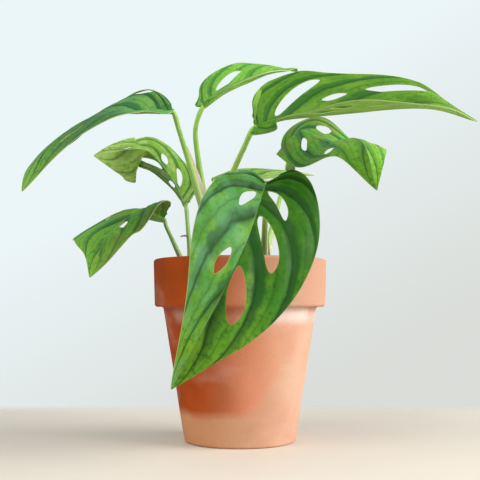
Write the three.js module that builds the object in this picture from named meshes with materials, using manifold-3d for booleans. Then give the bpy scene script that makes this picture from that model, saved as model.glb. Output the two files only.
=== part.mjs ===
// A swiss cheese vine (Monstera adansonii) growing in a terracotta pot.
// Millimetres, +Z up, the origin at the centre of the pot's base, the viewer at -Y.
// Eight perforated leaves stand on stalks that rise from three short vines in the soil.

import * as THREE from 'three';
import { mergeVertices } from 'three/addons/utils/BufferGeometryUtils.js';
import Module from 'manifold-3d';

const wasm = await Module();
wasm.setup();

// Driving dimensions

const POT = {
  height: 108.5,
  rimDepth: 28.5,
  rimTopRadius: 52.3,
  rimBottomRadius: 51.5,
  neckRadius: 46.2,
  baseRadius: 33.4,
  mouthRadius: 45.5,
  innerBaseRadius: 29,
  floorThickness: 8,
  drainRadius: 5.5,
  edgeRadius: 1.6,
  segments: 44,
};

// The soil's ripples: the share of the bump's height, the turn in radians a millimetre along
// X and Y, and the start
const SOIL = {
  top: 96.5,
  bump: 2,
  ripples: [[0.5, 0.31, 0.12, 0.9], [0.3, 0.19, -0.41, 2], [0.2, 0.55, 0.47, 1.6]],
  gap: 0.3,
  rings: 7,
};

const STEM_HOLE = { depth: 15, gap: 0.3, sides: 16 };

const BLADE = { thickness: 0.9, columns: 16, rows: 7, sameLine: 0.35, tipShare: 0.985 };

const MIDRIB = { samples: 400, near: 0.004 };

// The fan of side veins: the even share of their spacing on the midrib, how they crowd
// towards the stalk, how far they bow, and how those up to a share sweep back
const VEINS = { even: 0.02, crowding: 3.6, bow: 0.015, sweep: 1.2, sweepEnd: 0.33 };

// The borders of the cells round a hole, along the fan and across it, and its rim's squareness
const HOLE = { border: 0.012, crossBorder: 0.04, outermost: 0.96, squareness: 2.6 };

const STALK = { sides: 8, step: 7, knee: 2 };

// Each leaf: its midrib from the stalk to the tip; the heading and the rise, in degrees, of
// its upper face at the base, the middle and the tip; and its two halves, named as seen from
// above with the tip ahead. A half has a width, an upward fold and a downward curl in degrees
// at the same three places, its margin from the stalk to the tip as pairs of the share of the
// leaf's length and the share of the half's width, and its holes. A hole is a place and a
// half extent along the veins' fan, the same across it, and a slant.

const LEAVES = {
  leaf_front: {
    color: 0x3f8a3c,
    rib: [[14, -60, 147], [5, -86, 118], [-7, -98, 90], [-21, -101, 64], [-34, -98, 39]],
    face: [[22, 38], [24, 14], [20, 5]],
    wave: [1.2, 2.5, 0.4],
    right: {
      width: 32, fold: [18, 34, 27], curl: [-35, -25, 0],
      outline: [[-0.01, 0.18], [-0.02, 0.36], [0.04, 0.6], [0.16, 0.84], [0.34, 1], [0.52, 0.88],
        [0.7, 0.56], [0.86, 0.25], [1, 0]],
      holes: [[0.512, 0.046, 0.26, 0.145, 0.2], [0.728, 0.025, 0.5, 0.15, -0.03]],
    },
    left: {
      width: 35.5, fold: [34, 18, 22], curl: [-25, -15, 0],
      outline: [[-0.06, 0.2], [-0.08, 0.4], [-0.02, 0.68], [0.12, 0.9], [0.3, 1], [0.5, 0.93],
        [0.7, 0.66], [0.86, 0.31], [1, 0]],
      holes: [[0.468, 0.044, 0.27, 0.19, 0.26], [0.652, 0.034, 0.335, 0.28, 0.03],
        [0.806, 0.034, 0.36, 0.32, -0.03]],
    },
  },
  leaf_right_high: {
    color: 0x4f9330,
    rib: [[8, -69.4, 176.1], [21.6, -69.2, 180.7], [50.1, -76.2, 182.1], [94.1, -91.1, 181.5],
      [123.6, -84.4, 175.5]],
    face: [[15, 56], [-13, 56], [0, 55]],
    wave: [0.9, 3, 1.1],
    right: {
      width: 33.1, fold: [16, 29, 20], curl: [-15, -2, 2],
      outline: [[0, 0.2], [-0.04, 0.4], [0.06, 0.69], [0.22, 0.95], [0.33, 1.03], [0.52, 0.91],
        [0.68, 0.61], [0.82, 0.3], [1, 0]],
      holes: [[0.649, 0.046, 0.31, 0.12, 0.17], [0.659, 0.035, 0.62, 0.07, 0.02],
        [0.774, 0.015, 0.63, 0.17, 0.06]],
    },
    left: {
      width: 37.6, fold: [38, 26, 10], curl: [-5, -21, -18],
      outline: [[0.03, 0.16], [0.07, 0.42], [0.1, 0.71], [0.19, 0.86], [0.29, 0.87], [0.49, 0.84],
        [0.69, 0.62], [0.85, 0.38], [1, 0]],
      holes: [[0.513, 0.034, 0.44, 0.38, 0.01], [0.666, 0.022, 0.39, 0.1, 0.05],
        [0.773, 0.05, 0.74, 0.16, 0.25]],
    },
  },
  leaf_left_high: {
    color: 0x3f8631,
    rib: [[-38.4, -44.7, 190.5], [-58.2, -45.3, 190.2], [-79.3, -52.1, 186.9], [-105.2, -59.7, 167],
      [-118.5, -61.3, 142]],
    face: [[-8, 57], [12, 77], [-6, 81]],
    wave: [0.9, 3, 2],
    right: {
      width: 41, fold: [62, -8, 28], curl: [-14, -34, -12],
      outline: [[0.03, 0.12], [0.04, 0.2], [0.13, 0.43], [0.21, 0.69], [0.28, 0.82], [0.45, 0.8],
        [0.66, 0.6], [0.86, 0.28], [1, 0]],
      holes: [[0.402, 0.065, 0.65, 0.13, -0.05], [0.731, 0.02, 0.43, 0.23, 0],
        [0.818, 0.04, 0.63, 0.11, 0.01]],
    },
    left: {
      width: 26.4, fold: [21, -4, -38], curl: [-17, -6, -16],
      outline: [[0, 0.2], [0, 0.45], [0.03, 0.68], [0.13, 0.84], [0.31, 0.9], [0.5, 0.82],
        [0.69, 0.59], [0.86, 0.27], [1, 0]],
      holes: [[0.442, 0.035, 0.61, 0.29, 0.16], [0.78, 0.039, 0.6, 0.08, 0.04]],
    },
  },
  leaf_top: {
    color: 0x55982c,
    rib: [[-21, -42.1, 193.9], [-8.9, -36.3, 204], [5.8, -23.6, 214], [23.5, -5.2, 225.5],
      [37.5, 16.4, 230.7]],
    face: [[-5, 73], [-4, 63], [2, 66]],
    wave: [0.8, 2.5, 0.7],
    right: {
      width: 30.5, fold: [33, 22, -9], curl: [-34, -14, -17],
      outline: [[0, 0.2], [0, 0.52], [0.06, 0.79], [0.21, 0.96], [0.38, 0.99], [0.49, 0.85],
        [0.65, 0.57], [0.82, 0.27], [1, 0]],
      holes: [[0.498, 0.046, 0.4, 0.24, 0.01], [0.66, 0.026, 0.48, 0.17, -0.24]],
    },
    left: {
      width: 27.8, fold: [-1, 10, 4], curl: [-22, 4, -19],
      outline: [[0.03, 0.16], [0.01, 0.39], [0.09, 0.64], [0.2, 0.83], [0.35, 0.83], [0.59, 0.77],
        [0.7, 0.58], [0.85, 0.28], [1, 0]],
      holes: [[0.597, 0.057, 0.47, 0.25, 0.17]],
    },
  },
  leaf_left_middle: {
    color: 0x74a83a,
    rib: [[-35.3, 27.2, 145.5], [-44.1, 33.7, 163.4], [-57.8, 35.4, 180.3], [-67.8, 29.1, 182.8],
      [-95.5, 27.6, 178.1]],
    face: [[-21, 31], [-11, 27], [-21, 15]],
    wave: [0.9, 3, 0.2],
    right: {
      width: 18.3, fold: [7, -24, 30], curl: [-10, -14, 2],
      outline: [[0.03, 0.12], [0.05, 0.34], [0.09, 0.6], [0.19, 0.86], [0.34, 0.99], [0.5, 0.93],
        [0.68, 0.69], [0.84, 0.35], [1, 0]],
      holes: [[0.6, 0.032, 0.29, 0.22, 0.02], [0.727, 0.022, 0.35, 0.17, -0.1],
        [0.808, 0.013, 0.38, 0.07, 0.13], [0.894, 0.017, 0.32, 0.07, -0.2]],
    },
    left: {
      width: 31.5, fold: [-69, -70, -2], curl: [-12, -33, -20],
      outline: [[0.06, 0.1], [0.04, 0.16], [0.1, 0.28], [0.24, 0.49], [0.42, 0.73], [0.55, 0.82],
        [0.73, 0.75], [0.84, 0.45], [1, 0]],
      holes: [[0.59, 0.035, 0.3, 0.2, -0.2], [0.758, 0.034, 0.3, 0.2, 0]],
    },
  },
  leaf_left_low: {
    color: 0x3e7f38,
    rib: [[-48.4, 15, 136.2], [-60.9, -0.2, 139.5], [-74.7, -15.3, 126], [-79.8, -25.3, 116.9],
      [-86.4, -31.1, 96.4]],
    face: [[-10, 85], [7, 50], [3, 19]],
    wave: [0.8, 2.5, 1.5],
    right: {
      width: 31.2, fold: [7, -13, -2], curl: [-25, -35, -23],
      outline: [[-0.1, 0.22], [-0.14, 0.37], [0, 0.57], [0.2, 0.81], [0.36, 0.94], [0.55, 0.88],
        [0.74, 0.64], [0.85, 0.25], [1, 0]],
      holes: [[0.608, 0.052, 0.48, 0.2, -0.07]],
    },
    left: {
      width: 23, fold: [33, 29, 20], curl: [-23, -9, -10],
      outline: [[0.03, 0.12], [0.08, 0.36], [0.12, 0.62], [0.19, 0.86], [0.34, 0.98], [0.51, 0.92],
        [0.69, 0.68], [0.86, 0.36], [1, 0]],
      holes: [[0.587, 0.032, 0.21, 0.15, 0.07], [0.778, 0.023, 0.25, 0.2, -0.12]],
    },
  },
  leaf_right_middle: {
    color: 0x4b9140,
    rib: [[32.7, 46.7, 179.4], [39.2, 26.7, 194.2], [55, 6, 183.2], [70.3, -32.2, 175.8],
      [76.3, -50.3, 144.1]],
    face: [[-28, 35], [10, 59], [-20, 15]],
    wave: [0.9, 2.5, 0.9],
    right: {
      width: 27, fold: [11, -21, -5], curl: [-24, -21, -1],
      outline: [[0, 0.2], [-0.01, 0.49], [0.05, 0.75], [0.16, 0.92], [0.34, 1], [0.54, 0.92],
        [0.69, 0.72], [0.84, 0.43], [1, 0]],
      holes: [[0.623, 0.017, 0.4, 0.16, -0.09], [0.746, 0.023, 0.76, 0.12, -0.18]],
    },
    left: {
      width: 26.2, fold: [58, -13, -8], curl: [-26, -18, 0],
      outline: [[0.03, 0.12], [0.03, 0.29], [0.12, 0.53], [0.23, 0.78], [0.4, 0.93], [0.5, 0.89],
        [0.72, 0.66], [0.85, 0.33], [1, 0]],
      holes: [[0.597, 0.034, 0.42, 0.16, -0.29], [0.828, 0.023, 0.66, 0.2, -0.15]],
    },
  },
  leaf_back: {
    color: 0x8ab456,
    rib: [[-14, 78, 165], [1, 86, 171], [20, 96, 176], [38, 104, 178], [56, 110, 178]],
    face: [[0, 72], [0, 74], [0, 72]],
    wave: [0.8, 2.5, 0],
    right: {
      width: 26, fold: [15, 15, 10], curl: [-20, -20, -10],
      outline: [[0, 0.2], [0, 0.42], [0.05, 0.68], [0.16, 0.9], [0.31, 1], [0.5, 0.88],
        [0.69, 0.59], [0.86, 0.27], [1, 0]],
      holes: [[0.5, 0.045, 0.42, 0.22, 0.1], [0.72, 0.035, 0.45, 0.18, 0]],
    },
    left: {
      width: 26, fold: [15, 15, 10], curl: [-20, -20, -10],
      outline: [[0, 0.2], [0, 0.42], [0.05, 0.68], [0.16, 0.9], [0.31, 1], [0.5, 0.88],
        [0.69, 0.59], [0.86, 0.27], [1, 0]],
      holes: [[0.2, 0.05, 0.6, 0.16, 0], [0.56, 0.045, 0.42, 0.22, 0.1]],
    },
  },
};

// Each vine: the place where its stem stands in the soil, the stem's route and radii, and the
// routes of its leaf stalks, each up to the leaf that it carries, where the stalk ends at its
// seat's distance from the leaf's base. Radii are those at the foot, the middle and the top.

const VINES = {
  vine_left: {
    color: 0x7fae52,
    stem: {
      route: [[-33, 14, 83], [-33, 14, 99], [-32.8, 15, 104], [-32.4, 17, 108]],
      radii: [2.7, 2.6, 2],
    },
    stalks: [
      {
        leaf: 'leaf_left_middle', seat: 0.6, radii: [2.3, 1.5, 1.25],
        route: [[-33, 14, 100], [-31.8, 20, 107], [-32.1, 22.8, 115.7],
          [-33.7, 25.6, 132.2]],
      },
      {
        leaf: 'leaf_left_low', seat: 0.65, radii: [2.3, 1.5, 1.1],
        route: [[-33, 14, 99], [-35, 11, 106], [-37.8, 11.4, 112],
          [-43, 13.6, 123.1], [-46.8, 16.2, 131.1]],
      },
    ],
    root: { route: [[-32.6, 24.4, 125], [-35, 22.4, 125.4], [-37.8, 20.4, 124.8]], radii: [0.8, 0.7, 0.5] },
  },
  vine_middle: {
    color: 0x86b04a,
    stem: {
      route: [[-17, -10, 83], [-17, -10, 98], [-16.9, -10.5, 107], [-17.3, -12.5, 120], [-18.6, -14, 130]],
      radii: [2.9, 2.7, 2.2],
    },
    stalks: [
      {
        leaf: 'leaf_right_high', seat: 0.5, radii: [2.5, 1.8, 1.3],
        route: [[-17.3, -12.5, 119], [-15.5, -18, 129], [-12.5, -24.7, 138.3], [-2.5, -49.9, 158],
          [2.2, -61.4, 166.3]],
      },
      {
        leaf: 'leaf_left_high', seat: 0.35, radii: [2.5, 1.7, 1.3],
        route: [[-18.3, -13.8, 127], [-23.6, -22, 142.7], [-29, -32.7, 161.5],
          [-34.8, -41.3, 180.4]],
      },
      {
        leaf: 'leaf_top', seat: 0.5, radii: [2.6, 1.7, 1.25],
        route: [[-18.6, -14, 129], [-21.3, -20, 145.9], [-24.2, -30.4, 164.9],
          [-25.4, -38.1, 182.4]],
      },
    ],
  },
  vine_right: {
    color: 0x6f9f45,
    stem: { route: [[13, 6, 83], [13, 6, 98], [13, 6.3, 104], [13, 7, 108]], radii: [2.9, 2.7, 2.2] },
    stalks: [
      {
        leaf: 'leaf_front', seat: 0.8, radii: [2.5, 1.8, 1.15],
        route: [[13, 6, 101], [14.4, -4, 107], [14.5, -18, 119],
          [14.6, -36, 134], [14.7, -50, 146.5]],
      },
      {
        leaf: 'leaf_right_middle', seat: 0.5, radii: [2.4, 1.6, 1.25],
        route: [[13, 6.5, 104], [15, 10, 111.6], [19.7, 20.6, 127.1],
          [26, 33.7, 150.1], [30.2, 44.1, 166.9]],
      },
      {
        leaf: 'leaf_back', seat: 0.4, radii: [2.4, 1.5, 1.2],
        route: [[13, 7, 104], [10, 13, 110.5], [2, 34, 126.9],
          [-8.2, 60, 147.7], [-15, 73.5, 158.5]],
      },
    ],
  },
};

// Small maths

const mix = (a, b, share) => a + (b - a) * share;

// A direction from its heading (0 faces the viewer, 90 faces +X) and its rise, in degrees
function direction([heading, rise]) {
  const h = THREE.MathUtils.degToRad(heading);
  const r = THREE.MathUtils.degToRad(rise);
  return new THREE.Vector3(Math.sin(h) * Math.cos(r), -Math.cos(h) * Math.cos(r), Math.sin(r));
}

// A uniform Catmull-Rom curve through lists of numbers, its ends run on straight
function smooth(points, share) {
  const last = points.length - 1;
  const at = (i) => {
    if (i < 0) return points[0].map((v, k) => 2 * v - points[1][k]);
    if (i > last) return points[last].map((v, k) => 2 * v - points[last - 1][k]);
    return points[i];
  };
  const place = Math.min(Math.max(share, 0), 1) * last;
  const i = Math.min(Math.floor(place), last - 1);
  const f = place - i;
  const [a, b, c, d] = [at(i - 1), at(i), at(i + 1), at(i + 2)];
  return b.map((v, k) => 0.5 * (2 * v + (c[k] - a[k]) * f
    + (2 * a[k] - 5 * v + 4 * c[k] - d[k]) * f ** 2 + (3 * v - a[k] - 3 * c[k] + d[k]) * f ** 3));
}

// The parabola through three values at shares 0, 1/2 and 1
const parabola = ([a, b, c], x) => a * (1 - x) * (1 - 2 * x) + b * 4 * x * (1 - x) + c * x * (2 * x - 1);

// Solids

function geometryOf(points, triangles) {
  const geometry = new THREE.BufferGeometry();
  geometry.setAttribute('position', new THREE.Float32BufferAttribute(points.flat(), 3));
  geometry.setIndex(triangles.flat());
  return geometry;
}

function solidOf(geometry) {
  const bare = geometry.clone();
  bare.deleteAttribute('normal');
  bare.deleteAttribute('uv');
  const merged = mergeVertices(bare, 1e-4);
  return new wasm.Manifold(new wasm.Mesh({
    numProp: 3,
    vertProperties: new Float32Array(merged.attributes.position.array),
    triVerts: new Uint32Array(merged.index.array),
  }));
}

function geometryFrom(solid) {
  const { vertProperties, triVerts } = solid.getMesh();
  const geometry = new THREE.BufferGeometry();
  geometry.setAttribute('position', new THREE.BufferAttribute(new Float32Array(vertProperties), 3));
  geometry.setIndex(Array.from(triVerts));
  return geometry;
}

function meshOf(name, geometry, color, roughness) {
  geometry.computeVertexNormals();
  const mesh = new THREE.Mesh(geometry, new THREE.MeshStandardMaterial({ color, roughness, metalness: 0 }));
  mesh.name = name;
  return mesh;
}

// A closed round bar along a smooth route, its radius a parabola through three values
function bar(route, radii) {
  const { sides } = STALK;
  const curve = new THREE.CatmullRomCurve3(route.map((p) => new THREE.Vector3(...p)), false, 'centripetal');
  const steps = Math.max(3, Math.ceil(curve.getLength() / STALK.step));
  const { normals, binormals } = curve.computeFrenetFrames(steps, false);
  const points = [];
  const triangles = [];
  for (let i = 0; i <= steps; i += 1) {
    const centre = curve.getPointAt(i / steps);
    const radius = parabola(radii, i / steps);
    for (let k = 0; k < sides; k += 1) {
      const turn = (2 * Math.PI * k) / sides;
      points.push(centre.clone()
        .addScaledVector(normals[i], radius * Math.cos(turn))
        .addScaledVector(binormals[i], radius * Math.sin(turn)).toArray());
    }
  }
  const at = (i, k) => i * sides + (k % sides);
  for (let i = 0; i < steps; i += 1) {
    for (let k = 0; k < sides; k += 1) {
      triangles.push([at(i, k), at(i, k + 1), at(i + 1, k + 1)], [at(i, k), at(i + 1, k + 1), at(i + 1, k)]);
    }
  }
  for (let k = 1; k < sides - 1; k += 1) {
    triangles.push([at(0, 0), at(0, k + 1), at(0, k)], [at(steps, 0), at(steps, k), at(steps, k + 1)]);
  }
  return geometryOf(points, triangles);
}

// Pot

// A quarter round of the pot's edge radius about a centre, from one angle to another in degrees
function edgeArc(x, y, from, to, parts = 3) {
  return Array.from({ length: parts + 1 }, (_, i) => {
    const angle = THREE.MathUtils.degToRad(mix(from, to, i / parts));
    return new THREE.Vector2(x + POT.edgeRadius * Math.cos(angle), y + POT.edgeRadius * Math.sin(angle));
  });
}

function buildPot() {
  const e = POT.edgeRadius;
  const rimBottom = POT.height - POT.rimDepth;
  const profile = [
    new THREE.Vector2(POT.drainRadius, 0),
    ...edgeArc(POT.baseRadius - e, e, -90, 0),
    new THREE.Vector2(POT.neckRadius, rimBottom),
    ...edgeArc(POT.rimBottomRadius - e, rimBottom + e, -90, 0),
    ...edgeArc(POT.rimTopRadius - e, POT.height - e, 0, 90),
    ...edgeArc(POT.mouthRadius + e, POT.height - e, 90, 180),
    new THREE.Vector2(POT.innerBaseRadius, POT.floorThickness + 2 * e),
    new THREE.Vector2(POT.innerBaseRadius - 2 * e, POT.floorThickness),
    new THREE.Vector2(POT.drainRadius, POT.floorThickness),
    new THREE.Vector2(POT.drainRadius, 0),
  ];
  return new THREE.LatheGeometry(profile, POT.segments).rotateX(Math.PI / 2);
}

// Soil

// The radius of the pot's inner wall at a height
function innerRadius(z) {
  const low = POT.floorThickness + 2 * POT.edgeRadius;
  const high = POT.height - POT.edgeRadius;
  return mix(POT.innerBaseRadius, POT.mouthRadius, (z - low) / (high - low));
}

// The height of the soil's lumpy top: crossing ripples
function soilHeight(x, y) {
  return SOIL.ripples.reduce((height, [share, alongX, alongY, start]) => (
    height + SOIL.bump * share * Math.sin(alongX * x + alongY * y + start)), SOIL.top);
}

function buildSoil() {
  const { rings, gap } = SOIL;
  const { segments } = POT;
  const points = [];
  const triangles = [];
  const layer = (radiusAt, heightAt) => {
    for (let k = 0; k < segments; k += 1) {
      const turn = (2 * Math.PI * k) / segments;
      const [x, y] = [radiusAt * Math.cos(turn), radiusAt * Math.sin(turn)];
      points.push([x, y, heightAt(x, y)]);
    }
  };
  const floor = POT.floorThickness + gap;
  const shoulder = POT.floorThickness + 2 * POT.edgeRadius;
  const edge = innerRadius(SOIL.top - SOIL.bump) - gap;
  layer(POT.innerBaseRadius - 2 * POT.edgeRadius - gap, () => floor);
  layer(POT.innerBaseRadius - gap, () => shoulder);
  for (let ring = rings; ring > 0; ring -= 1) layer((edge * ring) / rings, soilHeight);
  const layers = rings + 2;
  const at = (i, k) => i * segments + (k % segments);
  for (let i = 0; i < layers - 1; i += 1) {
    for (let k = 0; k < segments; k += 1) {
      triangles.push([at(i, k), at(i, k + 1), at(i + 1, k + 1)], [at(i, k), at(i + 1, k + 1), at(i + 1, k)]);
    }
  }
  const bottomCentre = points.push([0, 0, floor]) - 1;
  const topCentre = points.push([0, 0, soilHeight(0, 0)]) - 1;
  for (let k = 0; k < segments; k += 1) {
    triangles.push([bottomCentre, at(0, k + 1), at(0, k)]);
    triangles.push([topCentre, at(layers - 1, k), at(layers - 1, k + 1)]);
  }
  let soil = solidOf(geometryOf(points, triangles));
  for (const { stem } of Object.values(VINES)) {
    const [x, y, foot] = stem.route[0];
    const bottom = foot - STEM_HOLE.gap;
    const radius = (stem.radii[0] + STEM_HOLE.gap) / Math.cos(Math.PI / STALK.sides);
    const height = 2 * STEM_HOLE.depth;
    const drill = new THREE.CylinderGeometry(radius, radius, height, STEM_HOLE.sides)
      .rotateX(Math.PI / 2).translate(x, y, bottom + height / 2);
    soil = soil.subtract(solidOf(drill));
  }
  return geometryFrom(soil);
}

// Leaf blades

// A leaf's midrib as an even walk, with the frame that its two halves hang from
class Midrib {
  constructor(leaf) {
    const { samples } = MIDRIB;
    this.face = leaf.face.map(direction);
    this.walk = Array.from({ length: samples + 1 }, (_, i) => smooth(leaf.rib, i / samples));
    this.reach = [0];
    for (let i = 1; i <= samples; i += 1) {
      const step = Math.hypot(...this.walk[i].map((v, k) => v - this.walk[i - 1][k]));
      this.reach.push(this.reach[i - 1] + step);
    }
    this.length = this.reach[samples];
  }

  // The point at a share of the length
  point(share) {
    const wanted = Math.min(Math.max(share, 0), 1) * this.length;
    let i = 1;
    while (i < this.reach.length - 1 && this.reach[i] < wanted) i += 1;
    const f = (wanted - this.reach[i - 1]) / (this.reach[i] - this.reach[i - 1]);
    return new THREE.Vector3(...this.walk[i - 1].map((v, k) => mix(v, this.walk[i][k], f)));
  }

  // Where the midrib is at a share, the way it runs, the way the leaf faces, and its right
  frame(share) {
    const inside = Math.min(Math.max(share, 0), 1);
    const along = this.point(inside + MIDRIB.near).sub(this.point(inside - MIDRIB.near)).normalize();
    const place = this.point(inside).addScaledVector(along, (share - inside) * this.length);
    const [x, y, z] = ['x', 'y', 'z'].map((axis) => parabola(this.face.map((f) => f[axis]), inside));
    const up = new THREE.Vector3(x, y, z);
    up.addScaledVector(along, -up.dot(along)).normalize();
    return { place, along, up, across: along.clone().cross(up) };
  }
}

// A point of a half blade. s runs along the fan of side veins, from the stalk (0) to the tip
// (1), and t runs out each vein from the midrib (0) to the margin (1). Near the stalk the
// veins sweep back in a curve. The half turns up from the midrib by its fold, rolls by its
// curl, and its margin waves.
function bladePoint(leaf, midrib, side, s, t) {
  const half = side > 0 ? leaf.right : leaf.left;
  const root = mix(s ** VEINS.crowding, s, VEINS.even);
  const [reach, spread] = smooth(half.outline, s);
  const sweep = t ** (1 + VEINS.sweep * Math.max(0, 1 - s / VEINS.sweepEnd) ** 2);
  const bow = VEINS.bow * Math.sin(Math.PI * t) * 4 * s * (1 - s);
  const share = mix(root, reach, sweep) - bow;
  const out = spread * t;
  const inside = Math.min(Math.max(share, 0), 1);
  const bend = parabola(half.fold, inside) + (parabola(half.curl, inside) * out) / 2;
  const turn = THREE.MathUtils.degToRad(bend);
  const [height, count, start] = leaf.wave;
  const lift = height * t ** 2 * Math.sin(Math.PI * s) * Math.sin(2 * Math.PI * count * s + start + side);
  const { place, up, across } = midrib.frame(share);
  return place
    .addScaledVector(across, side * (out * half.width * Math.cos(turn) - lift * Math.sin(turn)))
    .addScaledVector(up, out * half.width * Math.sin(turn) + lift * Math.cos(turn));
}

// Even grid lines from 0 to an end, each wanted value taking the nearest free line
function gridLines(count, end, wanted) {
  const lines = Array.from({ length: count + 1 }, (_, i) => (end * i) / count);
  const fixed = new Set([0, count]);
  const close = BLADE.sameLine * (end / count);
  for (const value of wanted) {
    if ([...fixed].some((i) => Math.abs(lines[i] - value) < close)) continue;
    let best = -1;
    for (let i = 1; i < count; i += 1) {
      const nearer = best < 0 || Math.abs(lines[i] - value) < Math.abs(lines[best] - value);
      if (!fixed.has(i) && nearer) best = i;
    }
    if (best < 0) continue;
    lines[best] = value;
    fixed.add(best);
  }
  return lines.sort((a, b) => a - b);
}

// The box of grid shares that a slanted hole needs round itself
function holeBox([s, halfS, t, halfT, slant]) {
  const reach = halfS + Math.abs(slant) * halfT + HOLE.border;
  const cross = halfT + HOLE.crossBorder;
  const [t0, t1] = [Math.max(t - cross, 0), Math.min(t + cross, HOLE.outermost)];
  return { s0: s - reach, s1: s + reach, t0, t1 };
}

// The rim of a hole, in the direction of a point of its box's rim
function holeRim([s, halfS, t, halfT, slant], box, atS, atT) {
  const x = (atT - (box.t0 + box.t1) / 2) / ((box.t1 - box.t0) / 2);
  const y = (atS - (box.s0 + box.s1) / 2) / ((box.s1 - box.s0) / 2);
  const size = Math.hypot(x, y);
  const soft = (v) => Math.sign(v) * Math.abs(v / size) ** (2 / HOLE.squareness);
  const out = halfT * soft(x);
  return [s + halfS * soft(y) + slant * out, t + out];
}

// The blade's middle sheet: a grid over each half, with a ring of cells round every hole, and
// the tip between the last veins of the halves
function bladeSheet(leaf, midrib) {
  const points = [];
  const triangles = [];
  const add = (side, s, t) => points.push(bladePoint(leaf, midrib, side, s, t).toArray()) - 1;
  const boxes = [leaf.right, leaf.left].map((half) => half.holes.map(holeBox));
  const sLines = gridLines(BLADE.columns, BLADE.tipShare, boxes.flat().flatMap((b) => [b.s0, b.s1]));
  const ribRow = sLines.map((s) => add(1, s, 0));
  const ends = [];
  [leaf.right, leaf.left].forEach((half, halfIndex) => {
    const side = halfIndex === 0 ? 1 : -1;
    const cell = (a, b, c, d) => {
      const quad = side > 0 ? [a, b, c, d] : [d, c, b, a];
      triangles.push([quad[0], quad[1], quad[2]], [quad[0], quad[2], quad[3]]);
    };
    const tLines = gridLines(BLADE.rows, 1, boxes[halfIndex].flatMap((b) => [b.t0, b.t1]));
    const grid = sLines.map((s, i) => tLines.map((t, j) => (j === 0 ? ribRow[i] : add(side, s, t))));
    ends.push(grid[grid.length - 1]);
    const blocks = boxes[halfIndex].map((box) => {
      const nearest = (lines, value) => lines.reduce((best, line, i) => (
        Math.abs(line - value) < Math.abs(lines[best] - value) ? i : best), 0);
      return {
        i0: nearest(sLines, box.s0), i1: nearest(sLines, box.s1),
        j0: nearest(tLines, box.t0), j1: nearest(tLines, box.t1),
      };
    });
    for (let i = 0; i < sLines.length - 1; i += 1) {
      for (let j = 0; j < tLines.length - 1; j += 1) {
        if (blocks.some((b) => i >= b.i0 && i < b.i1 && j >= b.j0 && j < b.j1)) continue;
        cell(grid[i][j], grid[i][j + 1], grid[i + 1][j + 1], grid[i + 1][j]);
      }
    }
    blocks.forEach((b, index) => {
      const rim = [];
      for (let j = b.j0; j < b.j1; j += 1) rim.push([b.i0, j]);
      for (let i = b.i0; i < b.i1; i += 1) rim.push([i, b.j1]);
      for (let j = b.j1; j > b.j0; j -= 1) rim.push([b.i1, j]);
      for (let i = b.i1; i > b.i0; i -= 1) rim.push([i, b.j0]);
      const box = { s0: sLines[b.i0], s1: sLines[b.i1], t0: tLines[b.j0], t1: tLines[b.j1] };
      const hole = half.holes[index];
      const inner = rim.map(([i, j]) => add(side, ...holeRim(hole, box, sLines[i], tLines[j])));
      rim.forEach(([i, j], k) => {
        const next = (k + 1) % rim.length;
        cell(grid[i][j], grid[rim[next][0]][rim[next][1]], inner[next], inner[k]);
      });
    });
  });
  const [right, left] = ends;
  triangles.push([right[0], right[1], left[1]]);
  for (let j = 1; j < BLADE.rows; j += 1) {
    triangles.push([left[j], right[j], right[j + 1]], [left[j], right[j + 1], left[j + 1]]);
  }
  return { points, triangles };
}

// A sheet given its thickness, half to each side, with a wall along every open edge
function thicken({ points, triangles }, thickness) {
  const normals = points.map(() => new THREE.Vector3());
  for (const corners of triangles) {
    const [a, b, c] = corners.map((i) => new THREE.Vector3(...points[i]));
    const normal = b.sub(a).cross(c.sub(a));
    corners.forEach((i) => normals[i].add(normal));
  }
  const offset = (amount) => points.map((p, i) => (
    new THREE.Vector3(...p).addScaledVector(normals[i].normalize(), amount).toArray()));
  const count = points.length;
  const edges = new Map();
  for (const [a, b, c] of triangles) {
    for (const [from, to] of [[a, b], [b, c], [c, a]]) edges.set(`${from},${to}`, [from, to]);
  }
  const open = [...edges.values()].filter(([from, to]) => !edges.has(`${to},${from}`));
  const walls = open.flatMap(([a, b]) => [[a, a + count, b + count], [a, b + count, b]]);
  const under = triangles.map(([a, b, c]) => [a + count, c + count, b + count]);
  const faces = [...triangles, ...under, ...walls];
  return geometryOf([...offset(thickness / 2), ...offset(-thickness / 2)], faces);
}

function buildBlade(leaf) {
  return thicken(bladeSheet(leaf, new Midrib(leaf)), BLADE.thickness);
}

// Vines

// A stalk's route, turned at a knee to end square to the leaf's base
function stalkRoute({ leaf, seat, route }) {
  const { place, along } = new Midrib(LEAVES[leaf]).frame(0);
  const before = (distance) => place.clone().addScaledVector(along, -distance).toArray();
  return [...route, before(seat + STALK.knee), before(seat)];
}

function buildVine({ stem, stalks, root }) {
  let vine = solidOf(bar(stem.route, stem.radii));
  for (const stalk of stalks) vine = vine.add(solidOf(bar(stalkRoute(stalk), stalk.radii)));
  if (root) vine = vine.add(solidOf(bar(root.route, root.radii)));
  return geometryFrom(vine);
}

// Assembly

const plant = new THREE.Group();
plant.add(meshOf('pot', buildPot(), 0xc8794a, 0.85));
plant.add(meshOf('soil', buildSoil(), 0x3a2a1e, 1));
for (const [name, vine] of Object.entries(VINES)) {
  plant.add(meshOf(name, buildVine(vine), vine.color, 0.6));
}
for (const [name, leaf] of Object.entries(LEAVES)) {
  plant.add(meshOf(name, buildBlade(leaf), leaf.color, 0.45));
}

export default plant;
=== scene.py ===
"""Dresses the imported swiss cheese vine: fired clay, potting mix, stalks and perforated leaves.

Every shape is a surface worked out with numpy on a grid. The tables hold lengths in millimetres
in the frame of the solids: the pot's axis is Z, its base is at zero, the viewer is at -Y.
"""

import logging
from collections.abc import Callable, Sequence
from dataclasses import dataclass
from enum import Enum

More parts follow.
